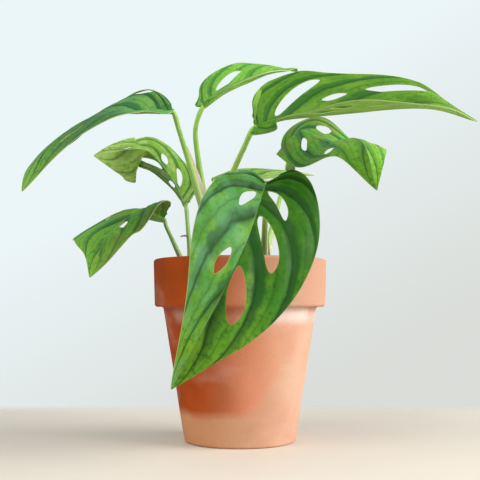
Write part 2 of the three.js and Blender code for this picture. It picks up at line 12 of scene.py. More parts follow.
import bpy
import numpy as np
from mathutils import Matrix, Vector
from numpy.typing import NDArray


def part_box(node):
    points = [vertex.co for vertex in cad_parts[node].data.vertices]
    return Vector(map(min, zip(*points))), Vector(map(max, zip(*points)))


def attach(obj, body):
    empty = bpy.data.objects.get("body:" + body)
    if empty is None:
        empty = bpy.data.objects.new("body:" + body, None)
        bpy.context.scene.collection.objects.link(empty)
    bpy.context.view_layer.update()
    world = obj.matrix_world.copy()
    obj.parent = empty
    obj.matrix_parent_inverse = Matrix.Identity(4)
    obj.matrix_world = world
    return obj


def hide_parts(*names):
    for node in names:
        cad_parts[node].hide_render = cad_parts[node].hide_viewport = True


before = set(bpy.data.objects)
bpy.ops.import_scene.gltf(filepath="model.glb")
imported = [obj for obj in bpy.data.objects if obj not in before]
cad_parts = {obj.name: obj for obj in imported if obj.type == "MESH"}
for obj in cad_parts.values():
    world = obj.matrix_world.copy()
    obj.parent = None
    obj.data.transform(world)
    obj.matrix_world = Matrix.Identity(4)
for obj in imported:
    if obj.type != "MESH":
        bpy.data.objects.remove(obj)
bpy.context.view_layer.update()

Array = NDArray[np.float64]
Triple = tuple[float, float, float]
Socket = bpy.types.NodeSocket

MM = 0.001
ROUND = 2 * np.pi
BODY = "root"
log = logging.getLogger("vine")


class Slot(Enum):
    """The record's material slots."""

    TERRACOTTA = "terracotta"
    SOIL = "soil"
    STALK = "stalk"
    DEEP = "leaf_deep"
    FRESH = "leaf_fresh"
    YOUNG = "leaf_young"


# Curves and small maths


def smooth_line(points: Array, share: Array) -> Array:
    """Gives the smooth curve through points, with ends that run on straight.

    Between two points it is a cubic. Its slope at a point is half the step from the point
    before to the point after.

    Args:
        points: The points that the curve passes, one a row.
        share: Places on the curve from 0 to 1, each point taking an equal share.

    Returns:
        One row a place, with as many columns as the points have.
    """
    last = len(points) - 1
    padded = np.vstack([2 * points[0] - points[1], points, 2 * points[-1] - points[-2]])
    place = np.clip(share, 0, 1) * last
    index = np.minimum(place.astype(int), last - 1)
    f = (place - index)[..., None]
    a, b, c, d = (padded[index + k] for k in range(4))
    linear = (c - a) * f
    square = (2 * a - 5 * b + 4 * c - d) * f**2
    cube = (3 * b - a - 3 * c + d) * f**3
    return 0.5 * (2 * b + linear + square + cube)


def parabola(values: Sequence[float] | Array, x: Array) -> Array:
    """Gives the parabola through three values at shares 0, 1/2 and 1.

    Args:
        values: The three values, or three rows of them.
        x: The shares.

    Returns:
        One value or row a share.
    """
    first, middle, last = np.asarray(values, float)
    if np.ndim(first):
        x = x[..., None]
    return first * (1 - x) * (1 - 2 * x) + middle * 4 * x * (1 - x) + last * x * (2 * x - 1)


def ease(value: Array, low: float, high: float) -> Array:
    """Rises smoothly from 0 at low to 1 at high: 3 x^2 - 2 x^3 of the clipped share x."""
    x = np.clip((value - low) / (high - low), 0, 1)
    return x * x * (3 - 2 * x)


def unit(vectors: Array) -> Array:
    """Scales each row to a length of one."""
    return vectors / np.maximum(np.linalg.norm(vectors, axis=-1, keepdims=True), 1e-12)


def walked(points: Array) -> Array:
    """Gives how far one has walked along a line of points on reaching each."""
    steps = np.linalg.norm(np.diff(points, axis=0), axis=1)
    return np.concatenate([[0], np.cumsum(steps)])


def along_line(points: Array, places: Array) -> Array:
    """Gives the points at distances along a line of straight pieces."""
    reach = walked(points)
    return np.stack([np.interp(places, reach, column) for column in points.T], -1)


def spun(radius: Array, turn: Array, height: Array) -> Array:
    """Gives points from their distance to the Z axis, their turn round it and their height."""
    shape = np.broadcast(radius, turn, height).shape
    return np.stack([radius * np.cos(turn), radius * np.sin(turn), height * np.ones(shape)], -1)


def ripples(x: Array, y: Array, seed: int, size: float, octaves: int = 4) -> Array:
    """Sums sine waves of random headings and starts, each octave half as long and high.

    Args:
        x: Places along X.
        y: Places along Y.
        seed: Fixes the random draw.
        size: The longest wave, in the units of x and y.
        octaves: How many times the waves halve.

    Returns:
        Heights mostly between -1 and 1.
    """
    draw = np.random.default_rng(seed)
    total = np.zeros(np.broadcast(x, y).shape)
    for octave in range(octaves):
        for _ in range(4):
            heading, start = draw.uniform(0, ROUND, 2)
            turn = ROUND * 2**octave / size * draw.uniform(0.8, 1.25)
            wave = np.sin(turn * (x * np.cos(heading) + y * np.sin(heading)) + start)
            total += wave * 0.5 ** (octave + 1)
    return total / 1.8


# Meshes


def grid_triangles(rows: int, columns: int, *, loop: bool = False) -> Array:
    """Splits a grid of points into triangles.

    Args:
        rows: How many rows of points there are.
        columns: How many points a row has.
        loop: Whether each row closes on itself.

    Returns:
        Three indices a triangle, for points stored row after row.
    """
    wide = columns if loop else columns - 1
    i, j = np.meshgrid(np.arange(rows - 1), np.arange(wide), indexing="ij")
    a = i * columns + j
    b = i * columns + (j + 1) % columns
    c = (i + 1) * columns + (j + 1) % columns
    d = (i + 1) * columns + j
    pairs = np.stack([np.stack([a, b, c], -1), np.stack([a, c, d], -1)], -2)
    return pairs.reshape(-1, 3)


def closed_grid(rows: int, sides: int) -> Array:
    """Splits a looped grid into triangles and closes its two ends with fans.

    Args:
        rows: How many rings of points there are.
        sides: How many points a ring has.

    Returns:
        Three indices a triangle, for the rings' points and then one for each end.
    """
    ring = np.arange(sides)
    after = (ring + 1) % sides
    last = (rows - 1) * sides
    foot = np.full(sides, rows * sides)
    return np.vstack([grid_triangles(rows, sides, loop=True), np.stack([foot, after, ring], -1),
                      np.stack([foot + 1, last + ring, last + after], -1)])


@dataclass
class Sheet:
    """A triangle mesh in millimetres, with what its finish reads from it.

    Attributes:
        points: One point a row.
        triangles: Three point indices a row.
        values: Named numbers, one a point.
        finish: The material's index, one a triangle.
    """

    points: Array
    triangles: Array
    values: dict[str, Array]
    finish: Array | None = None

    def piece(self, name: str, materials: Sequence[bpy.types.Material], *,
              sharp: float = 40) -> bpy.types.Object:
        """Puts the mesh into the scene as a smooth object at the origin.

        Args:
            name: The object's name.
            materials: Its materials, in the order of the finish's indices.
            sharp: Edges that turn more than this many degrees stay sharp.

        Returns:
            The new object, in metres.
        """
        mesh = bpy.data.meshes.new(name)
        mesh.from_pydata((self.points * MM).tolist(), [], self.triangles.tolist())
        for material in materials:
            mesh.materials.append(material)
        if self.finish is not None:
            mesh.polygons.foreach_set("material_index", self.finish.astype(np.int32))
        mesh.polygons.foreach_set("use_smooth", np.ones(len(mesh.polygons), bool))
        for key, numbers in self.values.items():
            attribute = mesh.attributes.new(key, "FLOAT", "POINT")
            attribute.data.foreach_set("value", numbers.astype(np.float32))
        mesh.set_sharp_from_angle(angle=np.radians(sharp))
        mesh.update()
        piece = bpy.data.objects.new(name, mesh)
        bpy.context.scene.collection.objects.link(piece)
        log.info("%s: %d triangles", name, len(self.triangles))
        return piece


def outward_facing(sheet: Sheet) -> Sheet:
    """Turns a closed mesh's triangles over if its signed volume is negative."""
    a, b, c = (sheet.points[sheet.triangles[:, k]] for k in range(3))
    if np.sum(a * np.cross(b, c)) < 0:
        sheet.triangles = sheet.triangles[:, ::-1]
    return sheet


def joined(sheets: Sequence[Sheet]) -> Sheet:
    """Puts several meshes into one, keeping the values that all of them have.

    Args:
        sheets: The meshes.

    Returns:
        One mesh with the points and triangles of all.
    """
    starts = np.cumsum([0] + [len(sheet.points) for sheet in sheets[:-1]])
    keys = set.intersection(*(set(sheet.values) for sheet in sheets))
    return Sheet(
        np.vstack([sheet.points for sheet in sheets]),
        np.vstack([sheet.triangles + start for sheet, start in zip(sheets, starts)]),
        {key: np.concatenate([sheet.values[key] for sheet in sheets]) for key in sorted(keys)},
    )


def tube(centres: Array, radii: Array, sides: int, form: Array | None = None) -> Sheet:
    """Carries a round section along a path and closes both ends.

    Each section stands square to the path. Its first direction is the one before, laid square
    to the new heading, so the tube doesn't twist.

    Args:
        centres: The path's points, one a row.
        radii: The radius at each point.
        sides: How many sides the section has.
        form: A factor on the radius for each point and side, or none for a round section.

    Returns:
        A closed tube whose values give the share along it and the turn round it, 0 to 1.
    """
    along = unit(np.gradient(centres, axis=0))
    first = np.empty_like(along)
    seed = np.cross(along[0], (0.0, 0.0, 1.0))
    first[0] = unit(seed if np.linalg.norm(seed) > 0.05 else np.cross(along[0], (1.0, 0.0, 0.0)))
    for k in range(1, len(along)):
        first[k] = unit(first[k - 1] - along[k] * (first[k - 1] @ along[k]))
    second = np.cross(along, first)
    turn = np.arange(sides) / sides
    reach = radii[:, None] * (np.ones((1, sides)) if form is None else form)
    rim = (first[:, None] * np.cos(ROUND * turn)[None, :, None]
           + second[:, None] * np.sin(ROUND * turn)[None, :, None])
    points = (centres[:, None] + rim * reach[..., None]).reshape(-1, 3)
    share = np.repeat(np.linspace(0, 1, len(centres)), sides)
    return Sheet(
        np.vstack([points, centres[0], centres[-1]]),
        closed_grid(len(centres), sides),
        {"share": np.concatenate([share, [0, 1]]),
         "turn": np.concatenate([np.tile(turn, len(centres)), [0, 0]])},
    )


def place(piece: bpy.types.Object, slot: Slot, *nodes: str) -> bpy.types.Object:
    """Makes a piece ride on the plant's body, in place of the nodes it stands for, which it hides.
    """
    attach(piece, BODY)
    if nodes:
        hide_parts(*nodes)
    return piece


# Finishes


class Shader:
    """A material's nodes, with short calls for those that the finishes share.

    Attributes:
        material: The material.
        tree: Its node tree.
        surface: Its Principled shader.
        place: The coordinates in the object's own space, in metres.
    """

    def __init__(self, name: str) -> None:
        """Makes the material with its Principled shader.

        Args:
            name: The material's name.
        """
        self.material = bpy.data.materials.new(name)
        self.material.use_nodes = True
        self.tree = self.material.node_tree
        self.tree.nodes.clear()
        self.surface = self.tree.nodes.new("ShaderNodeBsdfPrincipled")
        output = self.tree.nodes.new("ShaderNodeOutputMaterial")
        self.tree.links.new(self.surface.outputs["BSDF"], output.inputs["Surface"])
        self.place = self.tree.nodes.new("ShaderNodeTexCoord").outputs["Object"]

    def put(self, socket: Socket, value: Socket | float | Sequence[float]) -> None:
        """Links a socket to another, or sets its value."""
        if isinstance(value, bpy.types.NodeSocket):
            self.tree.links.new(value, socket)
        else:
            socket.default_value = value

    def math(self, operation: str, *values: Socket | float, clamp: bool = False) -> Socket:
        """Adds a Math node.

        Args:
            operation: The node's operation.
            values: Its inputs, in order.
            clamp: Whether the result is held between 0 and 1.

        Returns:
            The result's socket.
        """
        node = self.tree.nodes.new("ShaderNodeMath")
        node.operation = operation
        node.use_clamp = clamp
        for socket, value in zip(node.inputs, values):
            self.put(socket, value)
        return node.outputs[0]

    def times(self, *values: Socket | float) -> Socket:
        """Multiplies two numbers."""
        return self.math("MULTIPLY", *values)

    def plus(self, *values: Socket | float) -> Socket:
        """Adds two numbers."""
        return self.math("ADD", *values)

    def apart(self, *values: Socket | float) -> Socket:
        """Gives how far two numbers are apart."""
        return self.math("ABSOLUTE", self.math("SUBTRACT", *values))

    def about_zero(self, value: Socket, width: float) -> Socket:
        """Moves and widens the range from 0 to 1 to a width about zero."""
        return self.math("MULTIPLY_ADD", value, width, -width / 2)

    def axes(self) -> tuple[Socket, ...]:
        """Gives the three coordinates in the object's own space, in metres."""
        split = self.tree.nodes.new("ShaderNodeSeparateXYZ")
        self.put(split.inputs[0], self.place)
        return tuple(split.outputs)

    def rise(self, value: Socket, low: float, high: float,
             to: tuple[float, float] = (0, 1)) -> Socket:
        """Maps a number smoothly from one range to another.

        Args:
            value: The number.
            low: Where the smooth rise starts.
            high: Where it ends.
            to: The results at the two ends.

        Returns:
            The result's socket.
        """
        node = self.tree.nodes.new("ShaderNodeMapRange")
        node.interpolation_type = "SMOOTHSTEP"
        for key, number in (("Value", value), ("From Min", low), ("From Max", high),
                            ("To Min", to[0]), ("To Max", to[1])):
            self.put(node.inputs[key], number)
        return node.outputs["Result"]

    def value(self, name: str) -> Socket:
        """Reads one of the piece's own named numbers."""
        node = self.tree.nodes.new("ShaderNodeAttribute")
        node.attribute_name = name
        return node.outputs["Fac"]

    def noise(self, size: float, detail: float = 3, stretch: Triple = (1, 1, 1)) -> Socket:
        """Adds noise in the object's own space.

        Args:
            size: The size of its lumps in millimetres.
            detail: How many finer layers it has.
            stretch: How many times finer the lumps are along each axis.

        Returns:
            A number from 0 to 1.
        """
        mapping = self.tree.nodes.new("ShaderNodeMapping")
        mapping.inputs["Scale"].default_value = stretch
        self.put(mapping.inputs["Vector"], self.place)
        node = self.tree.nodes.new("ShaderNodeTexNoise")
        node.inputs["Scale"].default_value = 1 / (size * MM)
        node.inputs["Detail"].default_value = detail
        self.put(node.inputs["Vector"], mapping.outputs["Vector"])
        return node.outputs["Fac"]

    def cells(self, size: float, feature: str = "F1") -> Socket:
        """Adds a pattern of cells in the object's own space and gives its distance."""
        node = self.tree.nodes.new("ShaderNodeTexVoronoi")
        node.feature = feature
        node.inputs["Scale"].default_value = 1 / (size * MM)
        self.put(node.inputs["Vector"], self.place)
        return node.outputs["Distance"]

    def mix(self, share: Socket | float, first: Socket | Triple, second: Socket | Triple) -> Socket:
        """Mixes two colours.

        Args:
            share: How much of the second there is.
            first: The first colour.
            second: The second colour.

        Returns:
            The mixed colour's socket.
        """
        node = self.tree.nodes.new("ShaderNodeMix")
        node.data_type = "RGBA"
        self.put(node.inputs["Factor"], share)
        for key, colour in (("A", first), ("B", second)):
            socket = next(s for s in node.inputs if s.name == key and s.type == "RGBA")
            self.put(socket, colour if isinstance(colour, bpy.types.NodeSocket) else (*colour, 1))
        return next(s for s in node.outputs if s.type == "RGBA")

    def coats(self, ground: Socket | Triple,
              *coats: tuple[Socket | float, Socket | Triple]) -> Socket:
        """Lays coats over a ground colour.

        Args:
            ground: The ground colour.
            coats: How much each coat covers, and its colour, the lowest first.

        Returns:
            The finished colour's socket.
        """
        for share, colour in coats:
            ground = self.mix(share, ground, colour)
        return ground

    def bump(self, height: Socket, depth: float) -> None:
        """Raises the surface by a height from 0 to 1, over what was raised before.

        Args:
            height: The height's socket.
            depth: How deep it is in millimetres.
        """
        node = self.tree.nodes.new("ShaderNodeBump")
        node.inputs["Distance"].default_value = depth * MM
        self.put(node.inputs["Height"], height)
        before = self.surface.inputs["Normal"].links
        if before:
            self.put(node.inputs["Normal"], before[0].from_socket)
        self.put(self.surface.inputs["Normal"], node.outputs["Normal"])

    def finish(self, **settings: Socket | float | Sequence[float]) -> bpy.types.Material:
        """Sets the shader's own sockets and gives the material.

        Args:
            settings: Values or sockets, under the sockets' names with low lines for spaces.

        Returns:
            The finished material.
        """
        for key, value in settings.items():
            self.put(self.surface.inputs[key.replace("_", " ")], value)
        return self.material


def dimmed(colour: Triple, share: float) -> Triple:
    """Scales a colour."""
    return tuple(share * part for part in colour)


@dataclass(frozen=True)
class ClayFinish:
    """Fired terracotta: damp and dark at the left, pale at the right, with lime dried out of it.

    The pale right side is partly dry clay and partly painted light, and the lime under the rim
    there also paints a glare. Lengths are in millimetres, in the pot's own space.

    Attributes:
        dry: The dry clay.
        pale: The driest clay, whitened by lime, and partly painted light on the lit right side.
        damp: The clay where water has soaked through.
        drying: The clay where the damp fades out.
        rim: Painted shade on the dry clay of the rim at the right.
        bloom_and_sheen: The lime that dries out of the clay, also painting a glare under the rim.
        grain: The colour of its fine grain.
        speck: The colour of its dark specks.
        damp_foot: The height where the damp zone starts at the left.
        damp_start: Where its foot starts to climb towards the right.
        damp_climb: How fast it climbs, to the power of 1.5.
        edge_below: How far under that height the damp's edge starts.
        edge_width: How wide the edge is at the left and at the right.
        edge_spread: Between which places along X it widens.
        edge_waver: How far it wavers up and down.
        left: Where the clay is dampest, with the least painted light.
        right: Where it is driest, with the most painted light.
        side_waver: How far both places waver.
        rim_shade_foot: The height where the rim's painted shade begins.
        bloom_height: Where the lime and its painted glare are strongest, just under the rim.
        bloom_reach: How far it spreads up and down.
    """

    dry: Triple = (0.64, 0.31, 0.155)
    pale: Triple = (0.65, 0.41, 0.29)
    damp: Triple = (0.38, 0.06, 0.006)
    drying: Triple = (0.7, 0.27, 0.15)
    rim: Triple = (0.5, 0.28, 0.19)
    bloom_and_sheen: Triple = (0.84, 0.68, 0.62)
    grain: Triple = (0.3, 0.09, 0.03)
    speck: Triple = (0.24, 0.08, 0.035)
    damp_foot: float = 19.4
    damp_start: float = 3
    damp_climb: float = 0.215
    edge_below: float = 3.4
    edge_width: tuple[float, float] = (5.5, 15)
    edge_spread: tuple[float, float] = (-8, 34)
    edge_waver: float = 8
    left: float = -36
    right: float = 40
    side_waver: float = 18
    rim_shade_foot: float = 76
    bloom_height: float = 75
    bloom_reach: float = 7

    def material(self) -> bpy.types.Material:
        """Builds the material.

        Returns:
            Clay coloured by height and side in the pot's own space.
        """
        shader = Shader("terracotta")
        x, _, z = (shader.times(axis, 1 / MM) for axis in shader.axes())
        cloud = shader.noise(26, 4)
        past = shader.math("MAXIMUM", shader.math("SUBTRACT", x, self.damp_start), 0)
        foot = shader.math("MULTIPLY_ADD", shader.math("POWER", past, 1.5), self.damp_climb,
                           self.damp_foot)
        above = shader.plus(shader.math("SUBTRACT", z, foot),
                            shader.about_zero(cloud, self.edge_waver))
        width = shader.rise(x, *self.edge_spread, self.edge_width)
        edge = shader.math("DIVIDE", shader.plus(above, self.edge_below), width, clamp=True)
        # From the damp left to the dry right; the paler clay it brings is partly painted light.
        side = shader.rise(shader.plus(x, shader.about_zero(cloud, self.side_waver)),
                           self.left, self.right)
        damp = shader.times(edge, shader.rise(side, 0.5, 1, (1, 0.25)))
        dry = shader.coats(self.dry, (side, self.pale),
                           (shader.rise(cloud, 0.35, 0.7, (0, 0.2)), self.damp))
        wet = shader.coats(self.damp,
                           (shader.rise(shader.noise(15, 3), 0.3, 0.7), dimmed(self.damp, 1.2)),
                           (shader.rise(side, 0.0, 0.68), self.drying))
        # Painted shade on the rim's dry clay towards the right.
        rim_shade = shader.times(shader.rise(z, self.rim_shade_foot, self.rim_shade_foot + 2),
                            shader.rise(side, 0.5, 1, (0, 0.6)))
        # Lime under the rim, stronger to the right where it also paints a glare.
        lime = shader.rise(shader.apart(z, self.bloom_height), 0, self.bloom_reach, (1, 0))
        streak = shader.rise(shader.noise(19, 4, (1, 1, 0.5)), 0.34, 0.6)
        lime_and_glare = shader.times(shader.times(lime, streak), shader.rise(side, 0.1, 0.7, (0.3, 0.9)))
        haze = shader.rise(shader.noise(34, 3, (1, 1, 1.6)), 0.54, 0.76)
        clay = shader.coats(
            dry, (damp, wet), (rim_shade, self.rim), (lime_and_glare, self.bloom_and_sheen),
            (shader.times(haze, 0.14), self.bloom_and_sheen),
            (shader.times(shader.noise(1.4, 3), 0.1), self.grain),
            (shader.rise(shader.cells(2.6), 0.05, 0.12, (0.3, 0)), self.speck),
        )
        shader.bump(shader.noise(0.9, 4), 0.12)
        return shader.finish(Base_Color=clay, Roughness=shader.rise(damp, 0, 1, (0.9, 0.75)),
                             Specular_IOR_Level=0.1)


@dataclass(frozen=True)
class CrumbFinish:
    """A loose mineral or peat crumb.

    Attributes:
        name: The material's name.
        dark: The colour in its hollows.
        light: The colour on its faces.
        size: The size of its mottling in millimetres.
    """

    name: str
    dark: Triple
    light: Triple
    size: float

    def material(self) -> bpy.types.Material:
        """Builds the material.

        Returns:
            A rough mottled material.
        """
        shader = Shader(self.name)
        mottle = shader.rise(shader.noise(self.size, 5), 0.35, 0.68)
        colour = shader.mix(mottle, self.dark, self.light)
        shader.bump(shader.noise(self.size / 2, 5), 0.8)
        return shader.finish(Base_Color=colour, Roughness=0.95)


@dataclass(frozen=True)
class StalkFinish:
    """A smooth, finely ribbed and freckled stalk.

    Attributes:
        name: The material's name.
        foot: The colour at the foot.
        top: The colour near the leaf.
        freckle: The colour of its small pale freckles.
        ribs: How many fine ribs run round it.
    """

    name: str
    foot: Triple
    top: Triple
    freckle: Triple = (0.5, 0.6, 0.28)
    ribs: int = 9

    def material(self) -> bpy.types.Material:
        """Builds the material.

        Returns:
            A satin colour that follows the share along the stalk.
        """
        shader = Shader(self.name)
        turn = shader.math("SINE", shader.times(shader.value("turn"), self.ribs * ROUND))
        ribs = shader.math("MULTIPLY_ADD", turn, 0.5, 0.5)
        colour = shader.coats(
            self.foot, (shader.rise(shader.value("share"), 0.1, 0.7), self.top),
            (shader.times(ribs, 0.1), dimmed(self.top, 0.5)),
            (shader.rise(shader.cells(1.3), 0.08, 0.2, (0.3, 0)), self.freckle),
        )
        shader.bump(ribs, 0.1)
        return shader.finish(Base_Color=colour, Roughness=0.42, Subsurface_Weight=0.15,
                             Subsurface_Radius=(0.6, 1, 0.3), Subsurface_Scale=MM)


@dataclass(frozen=True)
class LeafFinish:
    """A waxy leaf: painted shade in the creases of its veins, lighter on the swells between.

    Attributes:
        name: The materials' common name.
        crease: The colour of the painted shade down in the creases.
        swell: The colour on the swells.
        glow: The colour of yellower patches on the swells.
        tip: The colour towards the tip.
        under: The colour of the lower face.
        cloud: How far a brownish blush shows.
        groove: How dark the painted shade along the veins' lines is.
        middle: How far the blade is deeper midway.
        bloom_and_sheen: How far a painted bluish sheen shows on the right half.
        shade: How far painted shade darkens the left half near the stalk.
        rib: The colour of the midrib.
        blush: The colour of the blush.
        middle_tint: The deeper colour midway.
        sheen_tint: The colour of that painted sheen.
        shade_tint: The colour of that painted shade.
        speck: The colour of small dark specks.
        rim: The colour along the margin and round the holes.
        cut: The pale and the deeper colour of the cut edges.
        spread: How far light spreads inside the blade, by colour, in millimetres.
    """

    name: str
    crease: Triple
    swell: Triple
    glow: Triple
    tip: Triple
    under: Triple
    cloud: float = 0.0
    groove: float = 0.5
    middle: float = 0.0
    bloom_and_sheen: float = 0.0
    shade: float = 0.0
    rib: Triple = (0.3, 0.5, 0.16)
    blush: Triple = (0.2, 0.16, 0.05)
    middle_tint: Triple = (0.015, 0.07, 0.02)
    sheen_tint: Triple = (0.13, 0.37, 0.16)
    shade_tint: Triple = (0.012, 0.085, 0.001)
    speck: Triple = (0.02, 0.035, 0.01)
    rim: Triple = (0.42, 0.4, 0.12)
    cut: tuple[Triple, Triple] = ((0.42, 0.5, 0.16), (0.3, 0.42, 0.1))
    spread: Triple = (0.7, 1, 0.15)

    @staticmethod
    def phase(shader: Shader) -> Socket:
        """Counts side veins from the stalk, wandering a little: a whole number is on a vein."""
        return shader.plus(shader.value("vein"), shader.about_zero(shader.noise(13, 2), 0.24))

    def lines(self, shader: Shader, count: float) -> Socket:
        """Gives 0 along lines that wander a little and 1 midway between them.

        Args:
            shader: The material's nodes.
            count: How many lines there are to a side vein.

        Returns:
            The lines' socket.
        """
        turn = shader.times(self.phase(shader), count * np.pi)
        return shader.math("ABSOLUTE", shader.math("SINE", turn))

    def upper(self) -> bpy.types.Material:
        """Builds the upper face's material.

        Each swell carries painted shade on its flank away from the stalk, and the creases
        carry painted shade. Over crease and swell lie glowing patches, the tip's colour, a fine
        crinkle, a painted bluish sheen, the veins' lines of painted shade, the deeper middle,
        painted shade on the left half near the stalk, the blush, specks, the midrib and the pale
        margin.

        Returns:
            The material.
        """
        shader = Shader(f"{self.name}_upper")
        along, half = shader.value("along"), shader.value("half")
        crease, between = self.lines(shader, 1), self.lines(shader, 2)
        mottle = shader.noise(6, 5)
        # Painted shade on the flank of each swell away from the stalk.
        far = shader.rise(shader.math("FRACT", self.phase(shader)), 0.4, 0.95, (0, -0.75))
        flank = shader.plus(shader.plus(crease, far), shader.about_zero(mottle, 1.3))
        swell = shader.rise(flank, -0.1, 0.6)
        patch = shader.rise(shader.noise(11, 4), 0.42, 0.68, (0, 0.6))
        # A painted bluish sheen, standing for reflected light, on the right half.
        pale = shader.times(shader.rise(shader.noise(14, 4), 0.36, 0.62),
                            shader.rise(half, 0, 1, (self.bloom_and_sheen, 0)))
        # Painted shade along the veins' creases and the weaker creases between them.
        dark = dimmed(self.crease, 0.45)
        blush = shader.rise(shader.noise(24, 3), 0.45, 0.65, (0, self.cloud))
        colour = shader.coats(
            self.crease, (swell, self.swell), (shader.times(patch, swell), self.glow),
            (shader.rise(along, 0.45, 1.05, (0, 0.7)), self.tip),
            (shader.rise(shader.noise(2.4, 4), 0.48, 0.7, (0, 0.6)), self.crease),
            (pale, self.sheen_tint),
            (shader.rise(between, 0.0, 0.42, (0.6 * self.groove, 0)), dark),
            (shader.rise(crease, 0.0, 0.32, (self.groove, 0)), dark),
            (shader.rise(shader.apart(along, 0.5), 0.1, 0.38, (self.middle, 0)), self.middle_tint),
            # Painted shade on the left half near the stalk.
            (shader.times(half, shader.rise(along, 0.3, 0.7, (self.shade, 0))), self.shade_tint),
            (blush, self.blush),
            (shader.rise(shader.cells(4.2), 0.035, 0.07, (0.7, 0)), self.speck),
            (shader.rise(shader.value("across"), 0.15, 0.5, (0.55, 0)), self.rib),
            (shader.rise(shader.value("rim"), 0.05, 0.4, (0.3, 0)), self.rim),
        )
        shader.bump(mottle, 0.22)
        gloss = shader.rise(mottle, 0.3, 0.7, (0.42, 0.58))
        return shader.finish(Base_Color=colour, Roughness=gloss,
                             Specular_IOR_Level=0.15, Subsurface_Weight=0.15,
                             Subsurface_Radius=self.spread, Subsurface_Scale=MM)

    def lower(self) -> bpy.types.Material:
        """Builds the lower face's material.

        Returns:
            A paler, duller green with pale veins, deeper near the stalk.
        """
        shader = Shader(f"{self.name}_lower")
        colour = shader.coats(
            self.under, (shader.rise(shader.noise(10, 3), 0.3, 0.7), dimmed(self.under, 0.8)),
            (shader.rise(self.lines(shader, 1), 0.05, 0.22, (0.4, 0)), self.rib),
            (shader.rise(shader.value("across"), 0.6, 1.4, (0.7, 0)), self.rib),
            # Painted shade on the lower face near the stalk.
            (shader.rise(shader.value("along"), 0.02, 0.16, (0.75, 0)), self.swell),
        )
        shader.bump(shader.cells(2.1, "DISTANCE_TO_EDGE"), 0.12)
        return shader.finish(Base_Color=colour, Roughness=0.58, Specular_IOR_Level=0.18,
                             Subsurface_Weight=0.2, Subsurface_Radius=self.spread,
                             Subsurface_Scale=MM)

    def edge(self) -> bpy.types.Material:
        """Builds the material of the cut edges: pale yellow-green."""
        shader = Shader(f"{self.name}_edge")
        return shader.finish(Base_Color=shader.mix(shader.noise(6, 2), *self.cut), Roughness=0.5)


GLOSSY = LeafFinish("leaf_glossy", crease=(0.02, 0.105, 0.016), swell=(0.06, 0.235, 0.014),
                    glow=(0.18, 0.37, 0.02), tip=(0.21, 0.43, 0.025), under=(0.2, 0.4, 0.05),
                    groove=0.6, bloom_and_sheen=0.42, shade=0.68)
DEEP = LeafFinish("leaf_deep", crease=(0.03, 0.15, 0.045), swell=(0.1, 0.31, 0.06),
                  glow=(0.18, 0.4, 0.06), tip=(0.24, 0.48, 0.04), under=(0.24, 0.46, 0.06),
                  groove=0.65, middle=0.55)
FRESH = LeafFinish("leaf_fresh", crease=(0.035, 0.15, 0.013), swell=(0.085, 0.24, 0.014),
                   glow=(0.17, 0.35, 0.025), tip=(0.17, 0.35, 0.02), under=(0.34, 0.64, 0.09))
BRIGHT = LeafFinish("leaf_bright", crease=(0.06, 0.24, 0.03), swell=(0.14, 0.4, 0.035),
                    glow=(0.22, 0.46, 0.05), tip=(0.22, 0.45, 0.04), under=(0.34, 0.64, 0.1))
YOUNG = LeafFinish("leaf_young", crease=(0.08, 0.22, 0.025), swell=(0.18, 0.36, 0.045),
                   glow=(0.38, 0.52, 0.15), tip=(0.46, 0.6, 0.17), under=(0.44, 0.64, 0.2))
BLUSHED = LeafFinish("leaf_blushed", crease=(0.045, 0.2, 0.045), swell=(0.14, 0.4, 0.04),
                     glow=(0.22, 0.46, 0.03), tip=(0.28, 0.58, 0.04), under=(0.18, 0.36, 0.06),
                     cloud=0.4)


SHEATH = StalkFinish("sheath_pale", foot=(0.72, 0.66, 0.5), top=(0.86, 0.74, 0.62))
ROOT = StalkFinish("root_brown", foot=(0.2, 0.11, 0.06), top=(0.32, 0.16, 0.1))
GREEN_STALK = StalkFinish("stalk_green", foot=(0.52, 0.72, 0.28), top=(0.43, 0.72, 0.14))
PALE_STALK = StalkFinish("stalk_pale", foot=(0.46, 0.6, 0.32), top=(0.34, 0.54, 0.18))
PEAT = CrumbFinish("peat", (0.008, 0.005, 0.003), (0.06, 0.036, 0.02), 1.6)
BARK = CrumbFinish("bark", (0.03, 0.015, 0.008), (0.13, 0.07, 0.035), 1.2)
PERLITE = CrumbFinish("perlite", (0.42, 0.39, 0.34), (0.78, 0.76, 0.7), 0.9)


# Pot


